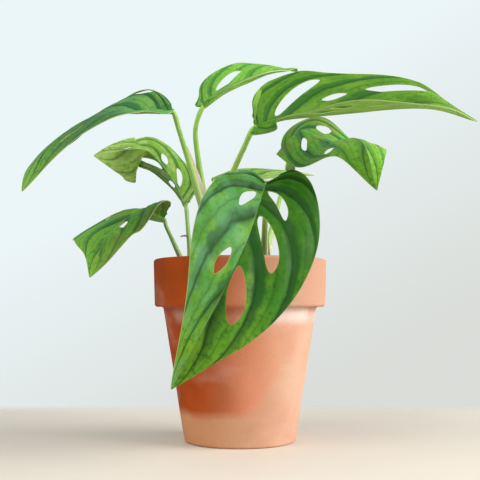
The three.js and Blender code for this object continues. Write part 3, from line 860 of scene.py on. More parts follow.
@dataclass
class Pot:
    """A thrown clay pot with a thick rim and a drain hole. Sizes are in millimetres.

    Attributes:
        rim_depth: How far the thick rim comes down.
        rim_top: The rim's radius at the top.
        rim_bottom: The rim's radius at its lower edge.
        neck: The body's radius under the rim.
        base: The radius at the base.
        mouth: The inner radius at the top.
        inner_base: The inner radius at the floor.
        floor: The floor's thickness.
        drain: The drain hole's radius.
        edge: The radius of the rounded edges.
        arc_points: How many points the arc of an edge has.
        fillet_points: How many the hollow under the rim has.
        step: How far the section's points are apart at most.
        sides: How many sides the turned surface has.
        ring_height: How high the throwing rings stand.
        ring_pitch: How far they are apart.
        ring_waver: How far they waver round the pot, in radians of a ring.
        ring_foot: The heights between which they set in.
        swell: How far the wall bulges unevenly.
        swell_size: How wide the bulges are.
        mean_radius: The radius that they are laid round.
        uneven: The radii between which the unevenness sets in.
        seed: Fixes the random draw.
    """

    rim_depth: float = 28.5
    rim_top: float = 52.3
    rim_bottom: float = 51.5
    neck: float = 46.2
    base: float = 33.4
    mouth: float = 45.5
    inner_base: float = 29
    floor: float = 8
    drain: float = 5.5
    edge: float = 1.6
    arc_points: int = 9
    fillet_points: int = 6
    step: float = 1.0
    sides: int = 220
    ring_height: float = 0.012
    ring_pitch: float = 4.3
    ring_waver: float = 1.5
    ring_foot: tuple[float, float] = (3, 8)
    swell: float = 0.25
    swell_size: float = 60
    mean_radius: float = 40
    uneven: tuple[float, float] = (32, 32.5)
    seed: int = 7

    def arc(self, x: float, z: float, start: float, end: float) -> Array:
        """Gives points on an arc of the edge's radius.

        Args:
            x: Its centre's distance to the axis.
            z: Its centre's height.
            start: Where it starts, in degrees from straight outwards.
            end: Where it ends.

        Returns:
            Radius and height a row.
        """
        turn = np.radians(np.linspace(start, end, self.arc_points))
        return np.stack([x + self.edge * np.cos(turn), z + self.edge * np.sin(turn)], -1)

    def profile(self) -> Array:
        """Lays out the pot's section: straight walls joined by arcs of the edge's radius.

        Returns:
            Radius and height a row, the last next to the first.
        """
        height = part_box("pot")[1].z / MM
        e = self.edge
        under = height - self.rim_depth
        fillet = np.radians(np.linspace(180, 90, self.fillet_points))
        corner = np.stack([self.neck + e * (1 + np.cos(fillet)),
                           under - e * (1 - np.sin(fillet))], -1)
        knots = np.vstack([
            [[self.drain, 0]], self.arc(self.base - e, e, -90, 0), corner,
            self.arc(self.rim_bottom - e, under + e, -90, 0),
            self.arc(self.rim_top - e, height - e, 0, 90),
            self.arc(self.mouth + e, height - e, 90, 180), [[self.inner_base, self.floor + 2 * e]],
            [[self.inner_base - 2 * e, self.floor]], [[self.drain, self.floor]], [[self.drain, 0]],
        ])
        reach = walked(knots)
        places = np.union1d(np.arange(0, reach[-1], self.step), reach)[:-1]
        return along_line(knots, places)

    def build(self) -> bpy.types.Object:
        """Turns the section round Z, with faint throwing rings and an uneven hand-made swell.

        The rings are a sine wave of the height, shifted by a sine of the turn round the pot.

        Returns:
            The pot, in place of its solid.
        """
        radius, height = self.profile().T
        turn = ROUND * np.arange(self.sides) / self.sides
        z = height[:, None] * np.ones(self.sides)
        rings = (np.sin(ROUND * z / self.ring_pitch + self.ring_waver * np.sin(turn))
                 * ease(z, *self.ring_foot))
        swell = ripples(np.cos(turn) * self.mean_radius, np.sin(turn) * self.mean_radius + z,
                        self.seed, self.swell_size, 2)
        spread = radius[:, None] + ease(radius, *self.uneven)[:, None] * (
            self.ring_height * rings + self.swell * swell)
        points = spun(spread, turn, z).reshape(-1, 3)
        rows = len(radius)
        triangles = grid_triangles(rows + 1, self.sides, loop=True) % (rows * self.sides)
        piece = Sheet(points, triangles, {}).piece("clay_pot", [ClayFinish().material()], sharp=35)
        return place(piece, Slot.TERRACOTTA, "pot")


# Soil


@dataclass(frozen=True)
class Lumps:
    """Small uneven lumps that lie on the soil. Sizes are in millimetres.

    Attributes:
        name: The piece's name.
        finish: Its finish.
        count: How many lumps there are.
        size: Their mean radius.
        spread: How far their sizes spread: the deviation of the size's logarithm.
        stretch: The least and most that a lump is stretched along an axis.
        dent: The least and most that one of its points is moved out.
        perch: How far its middle stands above the soil, as a share of half its height.
        sides: How many sides its rings have.
    """

    name: str
    finish: CrumbFinish
    count: int
    size: float
    spread: float = 0.4
    stretch: tuple[float, float] = (0.55, 1.25)
    dent: tuple[float, float] = (0.7, 1.25)
    perch: float = 0.25
    sides: int = 6

    def scatter(self, surface: Callable[[Array, Array], Array], radius: float,
                seed: int) -> Sheet:
        """Scatters the lumps over the surface.

        Each lump is a ball of three rings whose points are moved in and out at random. It is
        stretched along each axis, turned round Z and set into the soil.

        Args:
            surface: Gives the soil's height at places along X and Y.
            radius: How far from the axis they may lie.
            seed: Fixes the random draw.

        Returns:
            One mesh of all the lumps.
        """
        draw = np.random.default_rng(seed)
        turn = ROUND * np.arange(self.sides) / self.sides
        lift = np.radians([-45, 0, 45])[:, None]
        ball = np.vstack([spun(np.cos(lift), turn, np.sin(lift)).reshape(-1, 3),
                          [[0, 0, -1], [0, 0, 1]]])
        faces = closed_grid(len(lift), self.sides)
        away = radius * np.sqrt(draw.uniform(0, 1, self.count))
        heading = draw.uniform(0, ROUND, self.count)
        x, y = away * np.cos(heading), away * np.sin(heading)
        scale = (self.size * draw.lognormal(0, self.spread, (self.count, 1))
                 * draw.uniform(*self.stretch, (self.count, 3)))
        shape = ball * draw.uniform(*self.dent, (self.count, len(ball), 1)) * scale[:, None]
        spin = draw.uniform(0, ROUND, (self.count, 1))
        turned = np.stack([shape[..., 0] * np.cos(spin) - shape[..., 1] * np.sin(spin),
                           shape[..., 0] * np.sin(spin) + shape[..., 1] * np.cos(spin),
                           shape[..., 2]], -1)
        centres = np.stack([x, y, surface(x, y) + self.perch * scale[:, 2]], -1)
        points = (turned + centres[:, None]).reshape(-1, 3)
        offsets = np.arange(self.count)[:, None, None] * len(ball)
        return Sheet(points, (faces + offsets).reshape(-1, 3), {})


@dataclass
class Soil:
    """Moist peat mix with bark crumbs and perlite. Sizes are in millimetres.

    Attributes:
        top: The height of the soil's mean surface.
        bump: The height of its slow waves.
        waves: Each slow wave's share of that, its turn a millimetre along X and Y, and its start.
        ripple: The height of the fine ripples over them.
        ripple_size: How wide these are.
        taper: How much narrower it is at its foot.
        wall: How far under the surface it starts to narrow.
        lumps: What lies on it.
        margin: How far that stays from the pot's wall.
        rings: How many rings the surface has.
        sides: How many sides a ring has.
        seed: Fixes the random draw.
    """

    top: float = 96.5
    bump: float = 2
    waves: tuple[tuple[float, ...], ...] = (
        (0.5, 0.31, 0.12, 0.9), (0.3, 0.19, -0.41, 2), (0.2, 0.55, 0.47, 1.6))
    ripple: float = 0.9
    ripple_size: float = 7
    taper: float = 14
    wall: float = 10
    lumps: tuple[Lumps, ...] = (Lumps("soil_crumbs", BARK, 1100, 1.15),
                                Lumps("soil_perlite", PERLITE, 90, 0.95))
    margin: float = 1.5
    rings: int = 60
    sides: int = 160
    seed: int = 11

    def surface(self, x: Array, y: Array) -> Array:
        """Gives the height at a place: three slow waves with fine ripples over them."""
        slow = sum(share * np.sin(ax * x + ay * y + start) for share, ax, ay, start in self.waves)
        fine = ripples(x, y, self.seed, self.ripple_size, 3)
        return self.top + self.bump * slow + self.ripple * fine

    def build(self) -> list[bpy.types.Object]:
        """Builds the soil's body, its crumbs and its perlite.

        Returns:
            The three pieces, the body in place of the soil's solid.
        """
        low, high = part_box("soil")
        radius = high.x / MM
        floor = low.z / MM
        turn = ROUND * np.arange(self.sides) / self.sides
        reach = np.concatenate([[radius - self.taper, radius],
                                np.linspace(radius, 0.02, self.rings)])
        x, y = reach[:, None] * np.cos(turn), reach[:, None] * np.sin(turn)
        z = self.surface(x, y)
        z[0] = floor
        z[1] = self.top - self.wall
        middle = self.surface(np.zeros(1), np.zeros(1))[0]
        points = np.vstack([np.stack([x, y, z], -1).reshape(-1, 3),
                            [[0, 0, floor], [0, 0, middle]]])
        body = Sheet(points, closed_grid(len(reach), self.sides), {})
        pieces = [place(body.piece("soil_body", [PEAT.material()]), Slot.SOIL, "soil")]
        for lumps in self.lumps:
            sheet = lumps.scatter(self.surface, radius - self.margin, self.seed + lumps.count)
            piece = sheet.piece(lumps.name, [lumps.finish.material()], sharp=60)
            pieces.append(place(piece, Slot.SOIL))
        return pieces


# Leaves


@dataclass(frozen=True)
class Hole:
    """A hole in a blade, in shares of the half's grid.

    Attributes:
        s: Its place along the fan of veins.
        half_s: Its half extent along the fan.
        t: Its place across, from the midrib to the margin.
        half_t: Its half extent across.
        slant: How far it leans along the fan as it runs out.
    """

    s: float
    half_s: float
    t: float
    half_t: float
    slant: float


@dataclass(frozen=True)
class Half:
    """One half of a blade.

    Attributes:
        width: Its width in millimetres.
        fold: Its upward fold at the stalk, the middle and the tip, in degrees.
        curl: Its curl there, in degrees.
        outline: Its margin from the stalk to the tip, as pairs of the share of the
            leaf's length and the share of the half's width.
        holes: Its holes.
        veins: How many side veins fan out over it.
        start: The share of a vein's spacing before the first.
    """

    width: float
    fold: Triple
    curl: Triple
    outline: tuple[tuple[float, float], ...]
    holes: tuple[Hole, ...]
    veins: float = 6.5
    start: float = 0.0


@dataclass(frozen=True)
class Quilt:
    """The swell of a blade between its veins.

    Attributes:
        height: How high it stands, in millimetres.
        fullness: The power of a swell and of its fading: the less it is, the fuller they are.
        minor: The share of the weaker crease midway between veins, and its power.
        blister: The share of the slow blisters.
        blister_size: How wide they are, in millimetres.
        fan: The length that the fan has for them, in millimetres.
        level: The share by which all of it is sunk.
        ends: The shares of the fan over which it fades at the stalk and at the tip.
        seed: Fixes the random draw.
    """

    height: float = 0.8
    fullness: float = 0.7
    minor: tuple[float, float] = (0.2, 0.8)
    blister: float = 0.35
    blister_size: float = 16
    fan: float = 70
    level: float = 0.75
    ends: tuple[float, float] = (0.12, 0.15)
    seed: int = 5

    def relief(self, values: dict[str, Array], s: Array, t: Array) -> Array:
        """Gives the height: |sin(pi v)| of the vein's phase v, to the power of the fullness.

        A weaker crease midway between veins and slow blisters are added. All of it fades out
        at the midrib, the margin, the stalk and the tip.

        Args:
            values: The surface's numbers.
            s: Shares along the fan.
            t: Shares out along the veins.

        Returns:
            Heights above the middle surface, in millimetres.
        """
        share, power = self.minor
        crest = np.abs(np.sin(np.pi * values["vein"])) ** self.fullness
        half_way = np.abs(np.sin(ROUND * values["vein"])) ** power
        blister = ripples(values["across"], self.fan * s, self.seed, self.blister_size, 2)
        fade = np.sin(np.pi * np.clip(t, 0, 1) ** self.fullness) ** self.fullness
        ends = ease(s, 0, self.ends[0]) * ease(1 - s, 0, self.ends[1])
        return self.height * fade * ends * (
            crest + share * half_way + self.blister * blister - self.level)


@dataclass(frozen=True)
class Leaf:
    """A perforated leaf, its blade hung from a curved midrib.

    Attributes:
        node: The solid that it stands for.
        finish: Its finish.
        slot: The record's slot.
        rib: Points of the midrib from the stalk to the tip, in millimetres.
        face: The heading and the rise of its upper face at the stalk, middle and tip.
        wave: The margin's wave: its height, how many there are, and its start.
        right: The half on the right, seen from above with the tip ahead.
        left: The other half.
        quilt: How the blade swells between its veins.
    """

    node: str
    finish: LeafFinish
    slot: Slot
    rib: tuple[Triple, ...]
    face: tuple[tuple[float, float], ...]
    wave: Triple
    right: Half
    left: Half
    quilt: Quilt = Quilt()


LEAVES = (
    Leaf(
        "leaf_front", GLOSSY, Slot.DEEP,
        rib=((14, -60, 147), (5, -86, 118), (-7, -98, 90), (-21, -101, 64), (-34, -98, 39)),
        face=((22, 38), (24, 14), (20, 5)), wave=(1.2, 2.5, 0.4),
        right=Half(32, (18, 34, 27), (-35, -25, 0),
                  ((-0.01, 0.18), (-0.02, 0.36), (0.04, 0.6), (0.16, 0.84), (0.34, 1), (0.52, 0.88),
                   (0.7, 0.56), (0.86, 0.25), (1, 0)),
                  (Hole(0.512, 0.046, 0.26, 0.145, 0.2),
                   Hole(0.728, 0.025, 0.5, 0.15, -0.03)), veins=4.6, start=0.09),
        left=Half(35.5, (34, 18, 22), (-25, -15, 0),
                 ((-0.06, 0.2), (-0.08, 0.4), (-0.02, 0.68), (0.12, 0.9), (0.3, 1), (0.5, 0.93),
                  (0.7, 0.66), (0.86, 0.31), (1, 0)),
                 (Hole(0.468, 0.044, 0.27, 0.19, 0.26), Hole(0.652, 0.034, 0.335, 0.28, 0.03),
                  Hole(0.806, 0.034, 0.36, 0.32, -0.03)), veins=5.8, start=-0.2),
        quilt=Quilt(2.0),
    ),
    Leaf(
        "leaf_right_high", FRESH, Slot.FRESH,
        rib=((8, -69.4, 176.1), (21.6, -69.2, 180.7), (50.1, -76.2, 182.1),
             (94.1, -91.1, 181.5), (123.6, -84.4, 175.5)),
        face=((15, 56), (-13, 56), (0, 55)), wave=(0.9, 3, 1.1),
        right=Half(33.1, (16, 29, 20), (-15, -2, 2),
                  ((0, 0.2), (-0.04, 0.4), (0.06, 0.69), (0.22, 0.95), (0.33, 1.03), (0.52, 0.91),
                   (0.68, 0.61), (0.82, 0.3), (1, 0)),
                  (Hole(0.649, 0.046, 0.31, 0.12, 0.17), Hole(0.659, 0.035, 0.62, 0.07, 0.02),
                   Hole(0.774, 0.015, 0.63, 0.17, 0.06)), veins=7, start=0.3),
        left=Half(37.6, (38, 26, 10), (-5, -21, -18),
                 ((0.03, 0.16), (0.07, 0.42), (0.1, 0.71), (0.19, 0.86), (0.29, 0.87), (0.49, 0.84),
                  (0.69, 0.62), (0.85, 0.38), (1, 0)),
                 (Hole(0.513, 0.034, 0.44, 0.38, 0.01), Hole(0.666, 0.022, 0.39, 0.1, 0.05),
                  Hole(0.773, 0.05, 0.74, 0.16, 0.25)), start=0.2),
    ),
    Leaf(
        "leaf_left_high", DEEP, Slot.DEEP,
        rib=((-38.4, -44.7, 190.5), (-58.2, -45.3, 190.2), (-79.3, -52.1, 186.9),
             (-105.2, -59.7, 167), (-118.5, -61.3, 142)),
        face=((-8, 57), (12, 77), (-6, 81)), wave=(0.9, 3, 2),
        right=Half(41, (62, -8, 28), (-14, -34, -12),
                  ((0.03, 0.12), (0.04, 0.2), (0.13, 0.43), (0.21, 0.69), (0.28, 0.82), (0.45, 0.8),
                   (0.66, 0.6), (0.86, 0.28), (1, 0)),
                  (Hole(0.402, 0.065, 0.65, 0.13, -0.05), Hole(0.731, 0.02, 0.43, 0.23, 0),
                   Hole(0.818, 0.04, 0.63, 0.11, 0.01))),
        left=Half(26.4, (21, -4, -38), (-17, -6, -16),
                 ((0, 0.2), (0, 0.45), (0.03, 0.68), (0.13, 0.84), (0.31, 0.9), (0.5, 0.82),
                  (0.69, 0.59), (0.86, 0.27), (1, 0)),
                 (Hole(0.442, 0.035, 0.61, 0.29, 0.16), Hole(0.78, 0.039, 0.6, 0.08, 0.04))),
    ),
    Leaf(
        "leaf_top", BRIGHT, Slot.FRESH,
        rib=((-21, -42.1, 193.9), (-8.9, -36.3, 204), (5.8, -23.6, 214),
             (23.5, -5.2, 225.5), (37.5, 16.4, 230.7)),
        face=((-5, 73), (-4, 63), (2, 66)), wave=(0.8, 2.5, 0.7),
        right=Half(30.5, (33, 22, -9), (-34, -14, -17),
                  ((0, 0.2), (0, 0.52), (0.06, 0.79), (0.21, 0.96), (0.38, 0.99), (0.49, 0.85),
                   (0.65, 0.57), (0.82, 0.27), (1, 0)),
                  (Hole(0.498, 0.046, 0.4, 0.24, 0.01), Hole(0.66, 0.026, 0.48, 0.17, -0.24))),
        left=Half(27.8, (-1, 10, 4), (-22, 4, -19),
                 ((0.03, 0.16), (0.01, 0.39), (0.09, 0.64), (0.2, 0.83), (0.35, 0.83), (0.59, 0.77),
                  (0.7, 0.58), (0.85, 0.28), (1, 0)),
                 (Hole(0.597, 0.057, 0.47, 0.25, 0.17),)),
    ),
    Leaf(
        "leaf_left_middle", YOUNG, Slot.YOUNG,
        rib=((-35.3, 27.2, 145.5), (-44.1, 33.7, 163.4), (-57.8, 35.4, 180.3),
             (-67.8, 29.1, 182.8), (-95.5, 27.6, 178.1)),
        face=((-21, 31), (-11, 27), (-21, 15)), wave=(0.9, 3, 0.2),
        right=Half(18.3, (7, -24, 30), (-10, -14, 2),
                  ((0.03, 0.12), (0.05, 0.34), (0.09, 0.6), (0.19, 0.86), (0.34, 0.99), (0.5, 0.93),
                   (0.68, 0.69), (0.84, 0.35), (1, 0)),
                  (Hole(0.6, 0.032, 0.29, 0.22, 0.02), Hole(0.727, 0.022, 0.35, 0.17, -0.1),
                   Hole(0.808, 0.013, 0.38, 0.07, 0.13), Hole(0.894, 0.017, 0.32, 0.07, -0.2))),
        left=Half(31.5, (-69, -70, -2), (-12, -33, -20),
                 ((0.06, 0.1), (0.04, 0.16), (0.1, 0.28), (0.24, 0.49), (0.42, 0.73), (0.55, 0.82),
                  (0.73, 0.75), (0.84, 0.45), (1, 0)),
                 (Hole(0.59, 0.035, 0.3, 0.2, -0.2), Hole(0.758, 0.034, 0.3, 0.2, 0))),
    ),
    Leaf(
        "leaf_left_low", BLUSHED, Slot.DEEP,
        rib=((-48.4, 15, 136.2), (-60.9, -0.2, 139.5), (-74.7, -15.3, 126),
             (-79.8, -25.3, 116.9), (-86.4, -31.1, 96.4)),
        face=((-10, 85), (7, 50), (3, 19)), wave=(0.8, 2.5, 1.5),
        right=Half(31.2, (7, -13, -2), (-25, -35, -23),
                  ((-0.1, 0.22), (-0.14, 0.37), (0, 0.57), (0.2, 0.81), (0.36, 0.94), (0.55, 0.88),
                   (0.74, 0.64), (0.85, 0.25), (1, 0)),
                  (Hole(0.608, 0.052, 0.48, 0.2, -0.07),)),
        left=Half(23, (33, 29, 20), (-23, -9, -10),
                 ((0.03, 0.12), (0.08, 0.36), (0.12, 0.62), (0.19, 0.86), (0.34, 0.98),
                  (0.51, 0.92), (0.69, 0.68), (0.86, 0.36), (1, 0)),
                 (Hole(0.587, 0.032, 0.21, 0.15, 0.07), Hole(0.778, 0.023, 0.25, 0.2, -0.12))),
        quilt=Quilt(1),
    ),
    Leaf(
        "leaf_right_middle", BLUSHED, Slot.FRESH,
        rib=((32.7, 46.7, 179.4), (39.2, 26.7, 194.2), (55, 6, 183.2),
             (70.3, -32.2, 175.8), (76.3, -50.3, 144.1)),
        face=((-28, 35), (10, 59), (-20, 15)), wave=(0.9, 2.5, 0.9),
        right=Half(27, (11, -21, -5), (-24, -21, -1),
                  ((0, 0.2), (-0.01, 0.49), (0.05, 0.75), (0.16, 0.92), (0.34, 1), (0.54, 0.92),
                   (0.69, 0.72), (0.84, 0.43), (1, 0)),
                  (Hole(0.623, 0.017, 0.4, 0.16, -0.09), Hole(0.746, 0.023, 0.76, 0.12, -0.18))),
        left=Half(26.2, (58, -13, -8), (-26, -18, 0),
                 ((0.03, 0.12), (0.03, 0.29), (0.12, 0.53), (0.23, 0.78), (0.4, 0.93), (0.5, 0.89),
                  (0.72, 0.66), (0.85, 0.33), (1, 0)),
                 (Hole(0.597, 0.034, 0.42, 0.16, -0.29), Hole(0.828, 0.023, 0.66, 0.2, -0.15))),
    ),
    Leaf(
        "leaf_back", YOUNG, Slot.YOUNG,
        rib=((-14, 78, 165), (1, 86, 171), (20, 96, 176), (38, 104, 178), (56, 110, 178)),
        face=((0, 72), (0, 74), (0, 72)), wave=(0.8, 2.5, 0),
        right=Half(26, (15, 15, 10), (-20, -20, -10),
                  ((0, 0.2), (0, 0.42), (0.05, 0.68), (0.16, 0.9), (0.31, 1), (0.5, 0.88),
                   (0.69, 0.59), (0.86, 0.27), (1, 0)),
                  (Hole(0.5, 0.045, 0.42, 0.22, 0.1), Hole(0.72, 0.035, 0.45, 0.18, 0))),
        left=Half(26, (15, 15, 10), (-20, -20, -10),
                 ((0, 0.2), (0, 0.42), (0.05, 0.68), (0.16, 0.9), (0.31, 1), (0.5, 0.88),
                  (0.69, 0.59), (0.86, 0.27), (1, 0)),
                 (Hole(0.2, 0.05, 0.6, 0.16, 0), Hole(0.56, 0.045, 0.42, 0.22, 0.1))),
    ),
)


@dataclass
class Midrib:
    """A leaf's midrib as a walk, with the frame that its two halves hang from.

    Attributes:
        leaf: The leaf that it belongs to.
        samples: How many straight pieces the walk has.
        near: The share of the length before and after a place that gives its heading.
    """

    leaf: Leaf
    samples: int = 400
    near: float = 0.004

    def __post_init__(self) -> None:
        """Measures the walk and the upper face's directions once."""
        heading, rise = np.radians(np.array(self.leaf.face, float)).T
        self.face = np.stack([np.sin(heading) * np.cos(rise), -np.cos(heading) * np.cos(rise),
                              np.sin(rise)], -1)
        self.walk = smooth_line(np.array(self.leaf.rib, float),
                                np.linspace(0, 1, self.samples + 1))
        self.length = walked(self.walk)[-1]

    def point(self, share: Array) -> Array:
        """Gives the points at shares of the length, held to its ends."""
        return along_line(self.walk, np.clip(share, 0, 1) * self.length)

    def frame(self, share: Array) -> tuple[Array, Array, Array, Array]:
        """Gives the frame at shares of the length, run on straight past the ends.

        Args:
            share: The shares.

        Returns:
            The places, the way the midrib runs, the way the leaf faces, and its right.
        """
        inside = np.clip(share, 0, 1)
        along = unit(self.point(inside + self.near) - self.point(inside - self.near))
        places = self.point(inside) + along * ((share - inside) * self.length)[..., None]
        up = parabola(self.face, inside)
        up = unit(up - along * np.sum(up * along, -1, keepdims=True))
        return places, along, up, np.cross(along, up)


@dataclass
class Blade:
    """Builds a leaf's blade as a thin closed surface. Sizes are in millimetres.

    A point of a half has two shares. s runs along the fan of side veins from the stalk to the
    tip. t runs out each vein from the midrib to the margin. Both halves share one flat plan in
    which the right half has t and the left half -t.

    Attributes:
        leaf: The leaf.
        columns: How many steps the fan has.
        rows: How many steps a vein has.
        rings: How many rings of cells run round a hole.
        thickness: The blade's thickness.
        tip_share: Where the fan ends, just short of the tip.
        even: The even share of the veins' spacing on the midrib.
        crowding: How they crowd towards the stalk.
        bow: How far they bow.
        sweep: How those near the stalk sweep back.
        sweep_end: Up to which share they do.
        lean: How far the creases lean towards the tip at the margin.
        border: The border of the cells round a hole, along the fan.
        cross_border: The same across it.
        outermost: How far out such cells may reach.
        squareness: The power of a hole's rim.
        rib_depth: How far the midrib stands out below at the stalk.
        rib_width: Its half width there.
        rib_taper: The power by which it thins towards the tip.
        rib_tip: The share of its width that is left there.
    """

    leaf: Leaf
    columns: int = 120
    rows: int = 40
    rings: int = 5
    thickness: float = 0.5
    tip_share: float = 0.996
    even: float = 0.02
    crowding: float = 3.6
    bow: float = 0.015
    sweep: float = 1.2
    sweep_end: float = 0.33
    lean: float = 0.13
    border: float = 0.012
    cross_border: float = 0.04
    outermost: float = 0.96
    squareness: float = 2.6
    rib_depth: float = 1.5
    rib_width: float = 1.3
    rib_taper: float = 0.8
    rib_tip: float = 0.4

    def __post_init__(self) -> None:
        """Measures the midrib once."""
        self.midrib = Midrib(self.leaf)

    def lines(self, count: int, end: float, wanted: Array, power: float = 1) -> Array:
        """Lays out grid lines from 0 to an end, and moves the nearest to each wanted value.

        Args:
            count: How many steps there are.
            end: The last line.
            wanted: Values that need a line.
            power: Draws the lines towards 0 where it is above 1.

        Returns:
            The lines, rising.
        """
        lines = end * np.linspace(0, 1, count + 1) ** power
        free = np.ones(count + 1, bool)
        free[[0, -1]] = False
        for value in wanted:
            best = int(np.argmin(np.where(free, np.abs(lines - value), np.inf)))
            lines[best] = value
            free[best] = False
        return np.sort(lines)

    def hole_box(self, hole: Hole) -> Array:
        """Gives the lowest and highest s, then t, of the cells round a slanted hole."""
        reach = hole.half_s + abs(hole.slant) * hole.half_t + self.border
        cross = hole.half_t + self.cross_border
        return np.array([hole.s - reach, hole.s + reach, max(hole.t - cross, 0),
                         min(hole.t + cross, self.outermost)])

    def hole_rim(self, hole: Hole, box: Array, s: Array, t: Array) -> tuple[Array, Array]:
        """Finds a hole's rim in the direction of each point of its box.

        The rim is a superellipse: with x and y the direction from the box's centre, each
        coordinate is the half extent times |x|^(2/p), and s leans with t by the slant.

        Args:
            hole: The hole.
            box: Its box.
            s: The s of points on the box.
            t: Their t.

        Returns:
            The s and t of the rim's points.
        """
        x = (t - (box[2] + box[3]) / 2) / ((box[3] - box[2]) / 2)
        y = (s - (box[0] + box[1]) / 2) / ((box[1] - box[0]) / 2)
        size = np.hypot(x, y)
        power = 2 / self.squareness
        out = hole.half_t * np.sign(x) * np.abs(x / size) ** power
        rise = hole.half_s * np.sign(y) * np.abs(y / size) ** power
        return hole.s + rise + hole.slant * out, hole.t + out

    @staticmethod
    def patch(s: Array, t: Array, triangles: Array, side: int = 1) -> tuple[Array, Array]:
        """Gives a patch's points as signed t and s, and its triangles, turned over on the left."""
        return np.stack([side * t.ravel(), s.ravel()], -1), triangles[:, ::side]

    def rings_round(self, hole: Hole, box: Array, lines: tuple[Array, Array],
                    solid: Array) -> tuple[Array, Array, Array]:
        """Takes the cells round a hole out of the grid and fills their place with rings.

        The rings run on straight lines from the cells' border to the hole's rim, evenly spaced.

        Args:
            hole: The hole.
            box: The cells' lowest and highest s, then t.
            lines: The grid's lines of s, and those of t.
            solid: Which cells stay, changed here.

        Returns:
            The s and t of the rings' points, a ring a row, and the triangles.
        """
        s_lines, t_lines = lines
        i0, i1 = (int(np.argmin(np.abs(s_lines - value))) for value in box[:2])
        j0, j1 = (int(np.argmin(np.abs(t_lines - value))) for value in box[2:])
        solid[i0:i1, j0:j1] = False
        loop_i = np.concatenate([np.full(j1 - j0, i0), np.arange(i0, i1),
                                 np.full(j1 - j0, i1), np.arange(i1, i0, -1)])
        loop_j = np.concatenate([np.arange(j0, j1), np.full(i1 - i0, j1),
                                 np.arange(j1, j0, -1), np.full(i1 - i0, j0)])
        s, t = s_lines[loop_i], t_lines[loop_j]
        fitted = np.array([s_lines[i0], s_lines[i1], t_lines[j0], t_lines[j1]])
        rim_s, rim_t = self.hole_rim(hole, fitted, s, t)
        inward = np.linspace(0, 1, self.rings + 1)[:, None]
        return (s + (rim_s - s) * inward, t + (rim_t - t) * inward,
                grid_triangles(self.rings + 1, len(s), loop=True))

    def plan(self) -> tuple[Array, Array]:
        """Lays out the flat plan: a grid over each half, rings round its holes, and the tip.

        Returns:
            Signed t and s of each point, one a row, and the triangles, each point used once.
        """
        halves = ((self.leaf.right, 1), (self.leaf.left, -1))
        boxes = [np.array([self.hole_box(hole) for hole in half.holes]) for half, _ in halves]
        s_lines = self.lines(self.columns, self.tip_share, np.unique(np.vstack(boxes)[:, :2]))
        patches: list[tuple[Array, Array]] = []
        ends: list[Array] = []
        for (half, side), hole_boxes in zip(halves, boxes):
            t_lines = self.lines(self.rows, 1, np.unique(hole_boxes[:, 2:]), power=1.35)
            ends.append(side * t_lines)
            solid = np.ones((self.columns, self.rows), bool)
            for hole, box in zip(half.holes, hole_boxes):
                ring = self.rings_round(hole, box, (s_lines, t_lines), solid)
                patches.append(self.patch(*ring, side))
            s, t = np.meshgrid(s_lines, t_lines, indexing="ij")
            cells = grid_triangles(*s.shape).reshape(self.columns, self.rows, 2, 3)
            patches.append(self.patch(s, t, cells[solid].reshape(-1, 3), side))
        tip_t = np.stack(ends[::-1], -1)
        patches.append(self.patch(np.full_like(tip_t, s_lines[-1]), tip_t,
                                  grid_triangles(len(tip_t), 2)))
        starts = np.cumsum([0] + [len(spots) for spots, _ in patches[:-1]])
        return self.compact(np.vstack([spots for spots, _ in patches]),
                            np.vstack([part + start for (_, part), start in zip(patches, starts)]))

    @staticmethod
    def compact(spots: Array, triangles: Array) -> tuple[Array, Array]:
        """Merges points that lie on each other and drops unused points and empty triangles."""
        merged, index = np.unique(spots.round(9) + 0.0, axis=0, return_inverse=True)
        triangles = index.ravel()[triangles]
        a, b, c = triangles.T
        triangles = triangles[(a != b) & (b != c) & (c != a)]
        used, index = np.unique(triangles, return_inverse=True)
        return merged[used], index.reshape(-1, 3)

    def surface(self, half: Half, side: int, s: Array, t: Array) -> tuple[Array, dict[str, Array]]:
        """Works out a half's middle surface.

        The vein of share s leaves the midrib at s^crowding and ends on the outline. From the
        midrib a point goes out by the outline's width, turned up by the fold and the curl,
        and lifted by the margin's wave. Creases follow s less a lean that grows with t^4.

        Args:
            half: The half.
            side: 1 for the right half and -1 for the left.
            s: Shares along the fan.
            t: Shares out along the veins.

        Returns:
            The points, and the numbers that the finish reads.
        """
        root = s**self.crowding * (1 - self.even) + s * self.even
        reach, spread = smooth_line(np.array(half.outline, float), s).T
        sweep = t ** (1 + self.sweep * np.maximum(0, 1 - s / self.sweep_end) ** 2)
        bow = self.bow * np.sin(np.pi * t) * 4 * s * (1 - s)
        share = root + (reach - root) * sweep - bow
        out = spread * t
        inside = np.clip(share, 0, 1)
        turn = np.radians(parabola(half.fold, inside) + parabola(half.curl, inside) * out / 2)
        height, count, start = self.leaf.wave
        lift = height * t**2 * np.sin(np.pi * s) * np.sin(ROUND * count * s + start + side)
        places, _, up, across = self.midrib.frame(share)
        sideways = side * (out * half.width * np.cos(turn) - lift * np.sin(turn))
        upwards = out * half.width * np.sin(turn) + lift * np.cos(turn)
        vein = (s - self.lean * t**4) * half.veins + half.start
        values = {"vein": vein, "across": out * half.width, "along": share,
                  "half": np.full(len(s), (1 - side) / 2)}
        return places + across * sideways[:, None] + up * upwards[:, None], values

